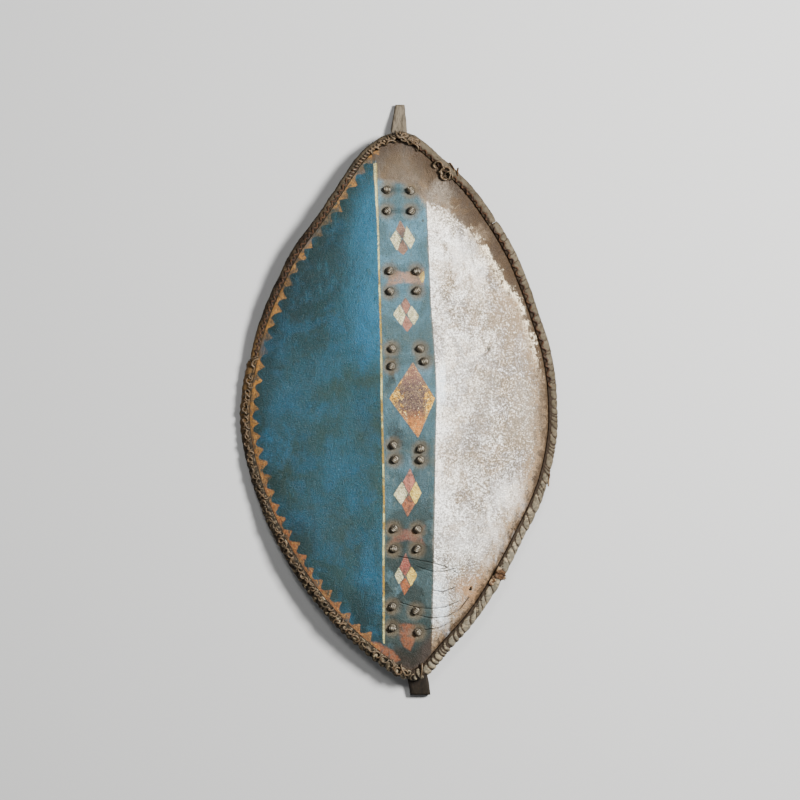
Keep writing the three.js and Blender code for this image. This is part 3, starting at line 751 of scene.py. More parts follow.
    # Yellow line, pale on its left and gold on its right, and the teeth along the rim
    along = f.noise(20, 4, 0.6, stretch=(0.3, 1, 1))
    yellow = f.mix(f.ramp(along, 0.46, 0.54), (0.4, 0.37, 0.15), (0.25, 0.145, 0.018))
    yellow = f.coats(yellow, (
        ((0.42, 0.39, 0.21), up, 0.18, 0.34, 0.6),
        ((0.13, 0.101, 0.025), stripe_side, -0.4, -1.8, 0.75),
        ((0.087, 0.09, 0.043), worm, 0.49, 0.42, 0.65),
    ))
    line = f.both(inside("stripe", 0.6, 0.8), f.ramp(rub, 0.64, 0.56, 0.15, 0.96))
    color = f.mix(line, color, yellow)
    ochre = f.mix(f.ramp(up, 0.02, -0.26), (0.253, 0.105, 0.017), (0.173, 0.052, 0.018))
    ochre = f.coats(ochre, (
        ((0.087, 0.05, 0.021), f.noise(45, 3, 0.5), 0.46, 0.56, 0.65),
        ((0.311, 0.168, 0.043), worm, 0.5, 0.6, 0.7),
        ((0.081, 0.049, 0.023), rub, 0.48, 0.6, 0.8),
    ))
    tooth = f.both(inside("teeth", 0.9, 1.5), f.ramp(rub, 0.66, 0.55, 0.15, 0.95))
    tooth = f.both(tooth, f.ramp(f.scaled(up, 0.55, blotch), 0.7, 0.56, 0.2, 1.0))
    color = f.mix(tooth, color, ochre)

    # Handling, dirt and damage, with painted shade about and between the knots, along the rim and in the
    # creases
    near_knot = f.scaled(wander, 2.2, f.attribute("knot"))
    color = f.coats(color, (
        ((0.09, 0.066, 0.038), near_knot, 22, 9, 0.66),
        # painted shade: a dark ring round the foot of each knot, and a dark bar along the thong between each
        # pair
        ((0.02, 0.016, 0.011), f.attribute("knot"), 9.5, 6.8, 0.9),
        ((0.014, 0.03, 0.034),
         f.both(f.ramp(f.attribute("tie"), 8.0, 1.0), f.ramp(up, 0.26, 0.34, 0.2, 0.6))),
        # painted shade where the hide meets the rim, with brown dirt
        ((0.05, 0.03, 0.014), f.math("ADD", lip, f.ramp(across, -0.02, 0.02, 2.6, 1.6)), 5.0, 0.5, 0.5),
    ))
    seam = f.math("ABSOLUTE", f.scaled(wander, 0.5, f.attribute("crease_side")))
    seam = f.math("MAXIMUM", seam, f.math("SUBTRACT", f.attribute("crease"), 2.6))
    seam_share = f.both(f.ramp(seam, 1.5, 0.3), f.ramp(band_side, -6, 2, 0.3, 0.85))
    color = f.coats(color, (
        # painted shade darkening the creases
        ((0.03, 0.026, 0.02), f.both(seam_share, f.ramp(streak, 0.44, 0.54, 0.25, 1.0))),
        ((0.032, 0.028, 0.021), f.attribute("spot"), 1.6, -2.0, 0.92),
        ((0.03, 0.026, 0.02), grain, 0.47, 0.58, 0.3),
    ))

    height = f.scaled(worm, 1.0, f.both(rub, 0.7))
    height = f.scaled(grain, 0.35, height)
    height = f.scaled(f.math("SUBTRACT", pits, 0.5), f.ramp(band_side, -1, 3, 0.3, 1.5), height)
    height = f.scaled(f.ramp(seam, 0.2, 1.8), 0.8, height)
    normal = f.bump(height, 0.95, 0.0034)
    return f.finish(color, f.ramp(rub, 0.4, 0.6, 0.33, 0.52), normal, 0.13)


def raw_back():
    """The hide's inner side: tan rawhide, scraped and stained."""
    f = Finish("raw_back")
    blotch = f.noise(8, 6, 0.62, 0.7)
    vein = f.noise(26, 6, 0.62, 1.6, stretch=(1.5, 0.7, 1))
    scrape = f.noise(90, 5, 0.6, 0.2, stretch=(3.5, 0.6, 1))
    color = f.mix(f.ramp(blotch, 0.32, 0.68), (0.15, 0.098, 0.055), (0.27, 0.19, 0.115))
    color = f.coats(color, (
        ((0.095, 0.058, 0.032), vein, 0.52, 0.7),
        ((0.33, 0.255, 0.17), scrape, 0.52, 0.74, 0.6),
        ((0.05, 0.034, 0.02), f.noise(300, 4, 0.6), 0.4, 0.7, 0.3),
    ))
    height = f.scaled(scrape, 0.6, vein)
    normal = f.bump(height, 0.6, 0.0012)
    return f.finish(color, f.ramp(scrape, 0.3, 0.7, 0.55, 0.78), normal, 0.3)


def rim_leather():
    """Dry rim strip: dark brown on the left, grey-tan on the right, kept darker than the leather's own colour
    as painted shade of its steep sides, and darkest in its grooves and along its inner side as painted shade.
    """
    f = Finish("rim_leather")
    across, up = f.axes()
    blotch = f.noise(28, 5, 0.62, 0.5)
    fine = f.noise(230, 6, 0.68, 0.6)
    fibre = f.noise(120, 5, 0.62, 0.4, stretch=(0.7, 1.6, 1))
    left = f.mix(f.ramp(blotch, 0.38, 0.64), (0.007, 0.004, 0.002), (0.015, 0.009, 0.004))
    left = f.coats(left, (
        ((0.043, 0.034, 0.021), up, -0.36, -0.46, 0.7),
        ((0.07, 0.039, 0.014), f.both(f.ramp(up, -0.1, 0.0), f.ramp(up, 0.16, 0.08))),
    ))
    wraps = f.mix(f.ramp(blotch, 0.4, 0.6), (0.036, 0.029, 0.018), (0.062, 0.05, 0.032))
    wraps = f.mix(f.ramp(up, -0.06, -0.3, 0.0, 0.85), wraps, (0.09, 0.079, 0.057))
    strip = f.mix(f.ramp(blotch, 0.38, 0.64), (0.03, 0.024, 0.015), (0.052, 0.041, 0.026))
    right = f.mix(f.ramp(up, 0.308, 0.318), wraps, strip)
    color = f.mix(f.ramp(across, -0.02, 0.02), left, right)
    color = f.coats(color, (
        (strip, up, 0.3, 0.4, 0.55),
        ((0.04, 0.028, 0.015), f.attribute("strip_tone"), 0.3, 1.2, 0.4),
        ((0.05, 0.033, 0.017), fibre, 0.52, 0.66, 0.4),
    ))
    foot = f.ramp(up, -0.04, -0.26)
    color = f.coats(color, (
        ((0.19, 0.15, 0.092), f.both(foot, f.ramp(fibre, 0.5, 0.6, 0.0, 0.7))),
        ((0.011, 0.007, 0.003), fine, 0.5, 0.66, 0.75),
    ))
    # painted shade in the grooves and along the inner side
    deep = f.mix(f.ramp(across, -0.02, 0.02), (0.004, 0.003, 0.001), (0.011, 0.006, 0.003))
    color = f.mix(f.ramp(f.attribute("groove"), 0.18, 0.66, 0.0, 0.92), color, deep)
    height = f.scaled(fine, 0.8, fibre)
    normal = f.bump(height, 0.8, 0.0014)
    return f.finish(color, f.ramp(fine, 0.3, 0.7, 0.62, 0.86), normal, 0.1)


def thong_leather():
    """Twisted rawhide thong, dark with handling and pale on its top and on the side facing the key light:
    wear, and a painted highlight.
    """
    f = Finish("thong_leather")
    blotch = f.noise(90, 5, 0.62, 0.6)
    fine = f.noise(420, 6, 0.68, 0.4)
    color = f.mix(f.ramp(blotch, 0.42, 0.58), (0.012, 0.009, 0.005), (0.031, 0.023, 0.013))
    rubbed_and_lit = f.scaled(fine, 0.9, f.attribute("rubbed_and_lit"))
    color = f.coats(color, (
        ((0.079, 0.064, 0.04), rubbed_and_lit, 1.0, 1.5),
        ((0.301, 0.267, 0.202), rubbed_and_lit, 1.32, 1.5, 0.8),
    ))
    normal = f.bump(fine, 0.8, 0.0012)
    return f.finish(color, f.ramp(fine, 0.4, 0.6, 0.42, 0.66), normal, 0.4)


def chain_thong():
    """Thong linked along the rim, dull brown, paler on its crowns and on the side facing the key light: wear,
    and a painted highlight.
    """
    f = Finish("chain_thong")
    fine = f.noise(330, 6, 0.68, 0.5)
    blotch = f.noise(60, 5, 0.62, 0.6)
    rubbed_and_lit = f.scaled(fine, 1.0, f.attribute("rubbed_and_lit"))
    color = f.mix(f.ramp(blotch, 0.42, 0.58), (0.012, 0.008, 0.003), (0.036, 0.021, 0.009))
    color = f.coats(color, (
        ((0.095, 0.06, 0.028), rubbed_and_lit, 1.15, 1.6, 0.85),
        ((0.232, 0.168, 0.099), rubbed_and_lit, 1.5, 1.66, 0.65),
    ))
    return f.finish(color, f.ramp(fine, 0.4, 0.6, 0.45, 0.7), f.bump(fine, 0.8, 0.0011), 0.25)


def dark_thong():
    """Sewing thong, dark rust-brown with dirt."""
    f = Finish("dark_thong")
    fine = f.noise(300, 5, 0.65, 0.5)
    color = f.mix(f.ramp(fine, 0.44, 0.58), (0.009, 0.004, 0.002), (0.034, 0.014, 0.004))
    return f.finish(color, f.ramp(fine, 0.3, 0.7, 0.5, 0.75), f.bump(fine, 0.6, 0.0008), 0.16)


def torn_leather():
    """Raw torn leather: dark orange-brown, pale in patches."""
    f = Finish("torn_leather")
    fine = f.noise(190, 6, 0.68, 0.6)
    color = f.mix(f.ramp(fine, 0.4, 0.58), (0.015, 0.007, 0.003), (0.045, 0.021, 0.007))
    color = f.mix(f.ramp(f.noise(75, 4, 0.6), 0.54, 0.58), color, (0.129, 0.084, 0.043))
    return f.finish(color, f.ramp(fine, 0.3, 0.7, 0.55, 0.8), f.bump(fine, 0.7, 0.0012), 0.16)


def carved_wood():
    """Weathered knife-cut wood: grey and cream at the head, browner and far darker at the foot, partly as
    painted shade.
    """
    f = Finish("carved_wood")
    _, up = f.axes()
    grain = f.noise(95, 6, 0.6, 0.8, stretch=(2.6, 0.1, 2.6))
    fine = f.noise(360, 5, 0.62, 0.3, stretch=(2.0, 0.1, 2.0))
    blotch = f.noise(16, 5, 0.6, 0.4)
    # the foot's wood is far darker than the head's: browner, and painted shade as well
    color = f.mix(f.ramp(grain, 0.34, 0.66), (0.003, 0.002, 0.001), (0.008, 0.005, 0.002))
    pale = f.mix(f.ramp(grain, 0.42, 0.58), (0.038, 0.03, 0.019), (0.078, 0.063, 0.043))
    color = f.coats(color, (
        (pale, up, 0.43, 0.5),
        ((0.017, 0.01, 0.006), fine, 0.5, 0.72, 0.7),
        ((0.026, 0.017, 0.008), blotch, 0.5, 0.74, 0.5),
    ))
    height = f.scaled(fine, 0.7, grain)
    normal = f.bump(height, 0.7, 0.0012)
    return f.finish(color, f.ramp(grain, 0.3, 0.7, 0.55, 0.8), normal, 0.16)


materials = {
    "front": painted_front(), "back": raw_back(), "rim": rim_leather(), "thong": thong_leather(),
    "wood": carved_wood(), "dark_thong": dark_thong(), "torn": torn_leather(),
    "chain": chain_thong(),
}


# Hide
HIDE_COLUMNS, HIDE_ROWS = 176, 266


def side_tables():
    """The edge's left and right reach at each height."""
    right = outline[:head_index + 1]
    left = np.vstack([outline[head_index:], outline[:1]])[::-1]
    return [(side[:, 1], side[:, 0]) for side in (left, right)]


def hide_fields(points):
    """Everything that the hide's relief and paint are drawn from, point by point."""
    inward, round_length = edge_places(points)
    stripe_x = interpolate(STRIPE, points[:, 1])
    band_x = interpolate(BAND_EDGE, points[:, 1])
    half = np.interp(points[:, 1], (-440, 290, 380, 427), (1.9, 1.7, 2.5, 3.2))
    ends = np.minimum(points[:, 1] - STRIPE_ENDS[0], STRIPE_ENDS[1] - points[:, 1])
    knot_gap = np.min(np.linalg.norm(points[:, None] - knot_list[None], axis=2), axis=1)
    crease, crease_side = np.full(len(points), 99.0), np.full(len(points), 99.0)
    for line, _, _ in CREASES:
        gap, side = line_side(points, line)
        crease_side = np.where(gap < crease, side, crease_side)
        crease = np.minimum(crease, gap)
    spot = np.full(len(points), 99.0)
    for place, radius in DARK_SPOTS:
        spot = np.minimum(spot, np.linalg.norm(points - np.array(place), axis=1) - radius)
    ties = np.full(len(points), 99.0)
    for pair in knots.values():
        ties = np.minimum(ties, line_distance(points, pair))
    hole = np.linalg.norm(points - np.array(SCAR_HOLE["at"]), axis=1) - SCAR_HOLE["radius"]
    return {
        "lip": inward - RIM_INNER_REACH,
        "round": round_length,
        "stripe": np.minimum(half - np.abs(points[:, 0] - stripe_x), ends),
        "stripe_side": stripe_x - points[:, 0],
        "white": np.minimum(polygon_distance(points, WHITE_FIELD), inward - RIM_INNER_REACH - 9),
        "band_side": points[:, 0] - band_x,
        "bare": np.maximum(polygon_distance(points, BARE_HEAD), points[:, 0] - band_x),
        "big": polygon_distance(points, BIG_DIAMOND),
        "tie": ties,
        "teeth": teeth_distance(points, inward, round_length),
        "rust": shapes_distance(points, RUST),
        "smudge": shapes_distance(points, SMUDGES),
        "hole": hole,
        "cream": shapes_distance(points, CREAM),
        "gold": shapes_distance(points, GOLD),
        "knot": knot_gap,
        "crease": crease,
        "crease_side": crease_side,
        "spot": np.minimum(spot, hole),
    }


def hide_relief(points, fields):
    """How far the front stands out from an even sheet: warps, puckers, creases and pulled knots."""
    relief = 2.2 * noise_at(points, 130, 190, 3.1) + 1.1 * noise_at(points, 48, 70, 7.7)
    relief += 0.45 * noise_at(points, 17, 22, 1.3) + 0.22 * noise_at(points, 8, 9, 5.9)
    gap = fields["knot"]
    relief += -2.6 * bump(gap / 12) + 0.8 * bump((gap - 22) / 8) - 1.3 * bump(fields["tie"] / 6)
    for line, depth, wide in CREASES:
        away = line_distance(points, line)
        relief += -depth * bump(away / wide) + 0.35 * depth * bump((away - 2.6 * wide) / (1.6 * wide))
    lip = fields["lip"]
    pucker = np.cos(2 * math.pi * fields["round"] / 13.5)
    relief += 0.7 * pucker * bump(np.clip(lip, 0, None) / 9)
    settle = smooth_step(lip, -6, 5)
    return relief * settle - 0.3 * (1 - settle)


def make_hide():
    bm = bmesh.new()
    bmesh.ops.create_grid(bm, x_segments=HIDE_COLUMNS, y_segments=HIDE_ROWS, size=1)
    flat = np.array([(v.co.x, v.co.y) for v in bm.verts])
    (left_y, left_x), (right_y, right_x) = side_tables()
    low, high = left_y.min() + 0.4, left_y.max() - 0.4
    turn = np.sin(flat[:, 1] * math.pi / 2)
    share = 0.8 * flat[:, 1] + 0.2 * turn
    y = low + (high - low) * (share + 1) / 2
    left = np.interp(y, left_y, left_x)
    right = np.interp(y, right_y, right_x)
    x = left + (right - left) * np.interp(flat[:, 0], (-1, -0.33, 0.33, 1), (0, 0.4, 0.645, 1))
    points = np.stack([x, y], 1)
    fields = hide_fields(points)
    relief = hide_relief(points, fields)
    raised = np.stack([x, y, raw_height(x, y)], 1)
    raised += hide_normal(x, y) * (HIDE_THICKNESS / 2 + relief)[:, None]
    layers = {name: bm.verts.layers.float.new(name) for name in fields}
    for index, vert in enumerate(bm.verts):
        vert.co = raised[index]
        for name, layer in layers.items():
            vert[layer] = fields[name][index]
    centre = Vector(SCAR_HOLE["at"])
    torn = [f for f in bm.faces if (f.calc_center_median().xy - centre).length < SCAR_HOLE["radius"]]
    bmesh.ops.delete(bm, geom=torn, context="FACES")
    piece = finish_piece(bm, "painted_hide", materials["front"], ["hide"], "painted_hide")
    piece.data.materials.append(materials["back"])
    shell = piece.modifiers.new("thickness", "SOLIDIFY")
    shell.thickness = HIDE_THICKNESS * MM
    shell.offset = -1
    shell.material_offset = 1
    shell.material_offset_rim = 1


make_hide()


# Rim binding
def rim_frame(length):
    plan = outline_at(length)
    before, after = outline_at(length - 2.5), outline_at(length + 2.5)
    place = Vector(on_hide(*plan))
    ahead = (Vector(on_hide(*after)) - Vector(on_hide(*before))).normalized()
    normal = Vector(hide_normal(np.float64(plan[0]), np.float64(plan[1])))
    out = ahead.cross(normal).normalized()
    return place, ahead, out, out.cross(ahead).normalized()


def joint_length(height, side):
    """How far round the edge a height lies, on the right (1) or left (-1) side."""
    if side > 0:
        return float(np.interp(height, outline[:head_index + 1, 1], outline_lengths[:head_index + 1]))
    tail = outline[head_index:][::-1]
    return float(np.interp(height, tail[:, 1], outline_lengths[head_index:-1][::-1]))


def wraps(low, high, pitches, spread, seed):
    """Uneven wrap boundaries between two lengths round the edge."""
    marks = [low]
    pitch = interpolate(pitches, low)
    while marks[-1] < high - pitch * 0.7:
        k = len(marks)
        pitch = interpolate(pitches, marks[-1])
        marks.append(marks[-1] + pitch * (1 + spread * noise.noise((k * 1.37, seed, 0.5)) * 2))
    marks[-1] = high
    return np.array(marks)


def wrapped_relief(marks, slants, seed):
    """Strips wound slantwise over the edge, each ending in a round lobe on the inner side."""
    def relief(length, angle):
        slant = float(interpolate(slants, length)) * (1 + 0.8 * noise.noise((length / 22, seed, 7.7)))
        bend = slant * (angle - 0.5) / 1.8 + 1.6 * math.sin(2.4 * angle + 0.4)
        bend += 1.0 * noise.noise((length / 13, angle * 1.6, seed))
        shifted = length - bend
        k = int(np.clip(np.searchsorted(marks, shifted) - 1, 0, len(marks) - 2))
        share = float(np.clip((shifted - marks[k]) / (marks[k + 1] - marks[k]), 0, 1))
        gap = min(abs(shifted - marks[k]), abs(marks[k + 1] - shifted))
        own = noise.noise((k * 2.31, seed, 1.1))
        lobe_end = 2.34 + 0.25 * own - 0.42 * abs(2 * share - 1) ** 2.4
        past_lobe = float(smooth_step(angle, lobe_end - 0.06, lobe_end + 0.12))
        proud = float(smooth_step(-length, -640, -470))
        groove = math.exp(-(gap / (0.9 + 0.7 * proud)) ** 2)
        wide = noise.noise((length / 60, seed, 4.2))
        rib = 0.25 * math.cos(share * (7 + 5 * own) + own * 6)
        crown = (0.35 + 1.15 * proud) * (1 - abs(2 * share - 1) ** 2.6) + 0.7 * share * proud + rib
        streak = math.exp(-((share - 0.55 - 0.3 * own) / 0.17) ** 2)
        raise_by = crown - (0.7 + 1.4 * proud) * groove + (0.4 + 0.9 * proud) * own + 1.5 * wide - 1.5
        # the second value darkens the grooves between wraps and the inner side past the lobes as painted
        # shade
        return (raise_by - 1.6 * past_lobe,
                min(1.0, groove + past_lobe), 0.25 + 1.2 * own + 0.75 * streak)
    return relief


def twisted_relief(pitch, depth, seed):
    """Two strands laid over each other round the edge, fuller towards the foot."""
    def relief(length, angle):
        lean = angle / math.pi
        drift = 2.2 * noise.noise((length / 30, seed, 2.2))
        first = math.cos(2 * math.pi * ((length + drift) / pitch + 0.8 * lean))
        full = depth * (0.45 + 1.1 * float(smooth_step(length, foot_length - 330, foot_length - 120)))
        groove = float(np.clip((-0.45 - first) / 0.45, 0, 1)) * min(1.0, full)
        uneven = noise.noise((length / 7, angle * 2.0, seed))
        wide = noise.noise((length / 45, seed, 4.2))
        # inner and the grooves between the strands darken the rim as painted shade; the third value is
        # lighter on each strand's crest as a painted highlight
        inner = 0.6 * math.exp(-((angle - 2.35) / 0.28) ** 2)
        return (full * first - full + 1.1 * uneven + 1.5 * wide, min(1.0, 0.85 * groove + inner),
                0.5 + 0.8 * uneven + 0.3 * first * full)
    return relief


def plain_relief(seed, stitch, hollow_at, hollow_depth):
    """A strip drawn tight, with small hollows at its stitches."""
    def relief(length, angle):
        uneven = noise.noise((length / 24, angle * 1.2, seed))
        fine = noise.noise((length / 6, angle * 2.5, seed + 4))
        spot = (0.5 + 0.5 * math.cos(2 * math.pi * (length + 3 * uneven) / stitch)) ** 4
        hollow = math.exp(-((angle - hollow_at) / 0.3) ** 2) * spot
        scallop = math.exp(-((angle - 2.3 - 0.18 * math.cos(2 * math.pi * length / stitch)) / 0.26) ** 2)
        # the second value darkens the stitch hollows and the inner side as painted shade
        return (1.0 * uneven + 0.7 * fine - hollow_depth * hollow - 0.9 * scallop,
                min(1.0, hollow + 0.85 * scallop), 0.5 + 0.7 * uneven)
    return relief


ARC_POINTS = 22


def make_rim(name, low, high, outer_reach, relief, station_gap=1.5, taper=5.0):
    """One length of binding, with a slot for the hide's edge."""
    rows = int((high - low) / station_gap)
    middle = (outer_reach - RIM_INNER_REACH) / 2
    half = (outer_reach + RIM_INNER_REACH) / 2
    start = math.pi - math.asin((SLOT_HALF_HEIGHT + SLOT_LIP) / RIM_HALF_HEIGHT)
    slot = [(-RIM_INNER_REACH, -SLOT_HALF_HEIGHT), (SLOT_DEPTH, -SLOT_HALF_HEIGHT),
            (SLOT_DEPTH, SLOT_HALF_HEIGHT), (-RIM_INNER_REACH, SLOT_HALF_HEIGHT)]
    frames = [rim_frame(low + (high - low) * i / rows) for i in range(rows + 1)]
    marks = {}

    def place(i, j):
        place_at, ahead, out, up = frames[i]
        if j > ARC_POINTS:
            u, v = slot[j - ARC_POINTS - 1]
            marks[i, j] = (1.0, 0.0)
            return place_at + out * u + up * v
        angle = start - 2 * start * j / ARC_POINTS
        length = low + (high - low) * i / rows
        raise_by, groove, tone = relief(length, angle)
        near_end = min(i, rows - i) * station_gap
        raise_by -= 1.6 * math.exp(-(near_end / taper) ** 2)
        edge = 1 - abs(angle) / start
        raise_by *= min(1.0, 0.35 + 2.5 * edge)
        u = middle + (half + raise_by) * math.cos(angle)
        v = (RIM_HALF_HEIGHT + raise_by * 0.8) * math.sin(angle)
        marks[i, j] = (groove, tone)
        return place_at + out * u + up * v

    bm = bmesh.new()
    # groove carries painted shade for the grooves, hollows and inner side
    layers = [bm.verts.layers.float.new(key) for key in ("groove", "strip_tone")]
    sides = ARC_POINTS + 1 + len(slot)
    grid = bmesh.ops.create_grid(bm, x_segments=rows, y_segments=sides, size=1)["verts"]
    for vert in grid:
        i = round((vert.co.x + 1) / 2 * rows)
        j = round((vert.co.y + 1) / 2 * sides) % sides
        vert.co = place(i, j)
        for layer, value in zip(layers, marks[i, j]):
            vert[layer] = value
    bmesh.ops.remove_doubles(bm, verts=grid, dist=1e-4)
    bmesh.ops.holes_fill(bm, edges=[e for e in bm.edges if e.is_boundary], sides=0)
    return finish_piece(bm, name.replace("binding_", "rim_"), materials["rim"], [name], "rim_leather")


right_joint = joint_length(318, 1)
left_joint = joint_length(70, -1)
foot_length = outline_total
JOINT_GAP = 0.5
WRAP_PITCH = [(0, 6.8), (95, 7.5), (135, 13.0), (320, 13.5), (430, 11.0),
              (600, 12.0), (700, 18.0), (900, 24.0)]
WRAP_SLANT = [(0, 5.0), (95, 6.0), (150, 17.0), (320, 16.0), (450, 12.0), (620, 7.0), (720, 2.0), (900, 1.0)]
lower_right_marks = wraps(0, right_joint, WRAP_PITCH, 0.7, 2.0)
make_rim("binding_lower_right", JOINT_GAP, right_joint - JOINT_GAP, LOWER_REACH,
         wrapped_relief(lower_right_marks, WRAP_SLANT, 5.0))
make_rim("binding_upper_right", right_joint + JOINT_GAP, head_length - JOINT_GAP, UPPER_RIGHT_REACH,
         plain_relief(2.0, 12.0, 9.0, 0.0))
make_rim("binding_upper_left", head_length + JOINT_GAP, left_joint - JOINT_GAP, UPPER_LEFT_REACH,
         plain_relief(8.0, 11.6, 1.75, 2.6))
make_rim("binding_lower_left", left_joint + JOINT_GAP, foot_length - JOINT_GAP, LOWER_REACH,
         twisted_relief(15.0, 1.0, 3.0))


def rim_point(length, outer_reach, angle, lift=0.0):
    """A place on the binding's skin, with its directions along, across and away from it."""
    place, ahead, out, up = rim_frame(length)
    middle, half = (outer_reach - RIM_INNER_REACH) / 2, (outer_reach + RIM_INNER_REACH) / 2
    skin = out * (half * math.cos(angle)) + up * (RIM_HALF_HEIGHT * math.sin(angle))
    across = (out * (-half * math.sin(angle)) + up * (RIM_HALF_HEIGHT * math.cos(angle))).normalized()
    away = ahead.cross(across).normalized()
    away = away if away.dot(skin) > 0 else -away
    return place + out * middle + skin + away * lift, ahead, across, away


def add_curl(bm, length, reach, angle, heading, size, turn, radius, seed):
    """A short curl of thong on the rim: an open loop whose ends are tucked down."""
    middle, ahead, across, away = rim_point(length, reach, angle, 0.5)
    along = ahead * math.cos(heading) + across * math.sin(heading)
    side = away.cross(along)
    points = []
    for k in range(7):
        share = k / 6
        sweep = (share - 0.5) * turn
        lift = 1.7 - 2.9 * abs(2 * share - 1) ** 2.5
        points.append(middle + along * math.sin(sweep) * size + side * (math.cos(sweep) - 0.6) * size * 0.75
                      + away * lift)
    strand(bm, points, radius, 16, 6, rough=0.3, flat=0.8, twist=0.2, seed=seed)


def make_chain_stitch():
    """Looped thong along the lower left rim, close and tangled, its curls larger and further apart at the
    foot.
    """
    bm = bmesh.new()
    length = left_joint + 22
    k = 0
    while length < foot_length - 6:
        k += 1
        near_foot = float(smooth_step(length, foot_length - 260, foot_length - 120))
        length += (5.2 + 2.6 * near_foot) * (1 + 0.5 * noise.noise((k * 0.9, 3.0, 5.0)))
        angle = 1.95 + 0.75 * noise.noise((k * 2.3, 1.0, 3.0))
        heading = 0.9 + 2.4 * noise.noise((k * 1.7, 6.0, 9.0)) + (math.pi if k % 2 else 0)
        size = (4.3 + 1.5 * near_foot) * (1 + 0.6 * noise.noise((k * 1.9, 8.0, 6.0)))
        add_curl(bm, length, LOWER_REACH, angle, heading, size, 4.2, 1.5 + 0.5 * near_foot, k * 1.7)
    return finish_piece(bm, "rim_chain_stitch", materials["chain"], slot="thong_leather")


def make_head_stitches():
    """Short thick stitches across the rim beside the head."""
    bm = bmesh.new()
    for k in range(17):
        length = head_length + 24 + 6.4 * k + 1.5 * noise.noise((k * 1.1, 4.0, 4.0))
        bends = ((2.55, -2.0, -0.6), (2.25, -1.0, 1.2), (1.9, 0.6, 1.5), (1.5, 2.2, -0.4))
        points = [rim_point(length + lean, UPPER_LEFT_REACH, angle, lift)[0] for angle, lean, lift in bends]
        strand(bm, points, 1.9 + 0.5 * noise.noise((k * 2.3, 1.0, 8.0)), 16, 7, rough=0.35, flat=0.8, seed=k)
    return finish_piece(bm, "rim_head_stitches", materials["chain"], slot="thong_leather")


def sewing_path(low, high, outer_reach, pitch, angle, sweep, lift, seed):
    """A zigzag of thong along the inner side of the rim."""
    points = []
    count = int((high - low) / pitch * 2)
    for k in range(count + 1):
        length = low + (high - low) * k / count + 1.6 * noise.noise((k * 0.9, seed, 1.0))
        swing = angle + (sweep if k % 2 else -sweep) * (1 + 0.5 * noise.noise((k * 1.1, seed, 9.0)))
        points.append(rim_point(length, outer_reach, swing, lift)[0])
    return points


def make_sewing():
    """The dark thong that sews the binding to the hide."""
    bm = bmesh.new()
    runs = (
        (600, right_joint - 6, LOWER_REACH, 17.0, 2.24, 0.3, 1.0),
        (right_joint + 6, head_length - 14, UPPER_RIGHT_REACH, 14.0, 2.24, 0.32, 2.0),
        (head_length + 14, left_joint - 8, UPPER_LEFT_REACH, 11.6, 2.15, 0.28, 3.0),
    )
    for low, high, reach, pitch, angle, sweep, seed in runs:
        points = sewing_path(low, high, reach, pitch, angle, sweep, 0.1, seed)
        strand(bm, points, 1.7, len(points) * 5, 6, twist=0.2, rough=0.45, seed=seed)
    return finish_piece(bm, "rim_sewing", materials["dark_thong"], slot="thong_leather")


make_chain_stitch()
make_head_stitches()
make_sewing()


def near_length(x, y):
    """How far round the edge lies the point nearest to this one."""
    return float(outline_lengths[int(np.argmin(np.linalg.norm(outline - np.array([x, y]), axis=1)))])


def make_torn_ends():
    """Torn ends and slivers of the wrap."""
    bm = bmesh.new()
    leather = [  # plan place, then (across the rim, up, along it) of each bend, width, flatness
        ((267, -134), [(4, 4, 8), (9, 6, 0), (11, 5, -10), (16, 3, -22)], 2.2, 0.4),
        ((92, 408), [(2, 8, -4), (6, 10, 3), (8, 12, 10), (8, 12, 16)], 2.1, 0.4),
        ((97, 404), [(0, 9, -6), (6, 12, 0), (13, 12, 4)], 2.6, 0.35),
    ]
    for number, (plan, bends, wide, flat) in enumerate(leather):
        place, ahead, out, up = rim_frame(near_length(*plan))
        points = [place + out * a + up * b + ahead * c for a, b, c in bends]
        strand(bm, points, wide, 26, 10, rough=0.5, flat=flat, seed=number * 3.1)
    scraps = (  # plan place, reach across the rim and along it, curl, seed
        ((183, -317), (-8, 17), (-9, 7), 7, 3.0),
        ((177, -326), (-9, 5), (-13, 4), 5, 8.0),
        ((186, -312), (-9, 9), (-5, 7), 6, 5.0),
    )
    for plan, reach, wide, curl, seed in scraps:
        place, ahead, out, up = rim_frame(near_length(*plan))
        grid = bmesh.ops.create_grid(bm, x_segments=9, y_segments=8, size=1)["verts"]
        for vert in grid:
            a, b = (vert.co.x + 1) / 2, (vert.co.y + 1) / 2
            tear = noise.noise((a * 2.2, b * 2.2, seed))
            narrow = 1 - 0.62 * a + 0.35 * noise.noise((a * 5, seed, 2.0))
            u = reach[0] + (reach[1] - reach[0]) * a * (1 + 0.35 * noise.noise((b * 4.5, seed, 4.0)))
            v = (wide[0] + wide[1]) / 2 + (b - 0.5) * (wide[1] - wide[0]) * narrow
            h = 11.5 - 9 * (a - 0.35) ** 2 * curl / 4 + 4.5 * tear + 1.3 * math.sin(6 * b + seed) * (0.3 + a)
            vert.co = place + out * u + up * h + ahead * v
        sheet = list(dict.fromkeys(face for vert in grid for face in vert.link_faces))
        bmesh.ops.recalc_face_normals(bm, faces=sheet)
        bmesh.ops.solidify(bm, geom=sheet, thickness=1.8)
    finish_piece(bm, "rim_torn_ends", materials["torn"], slot="rim_leather")


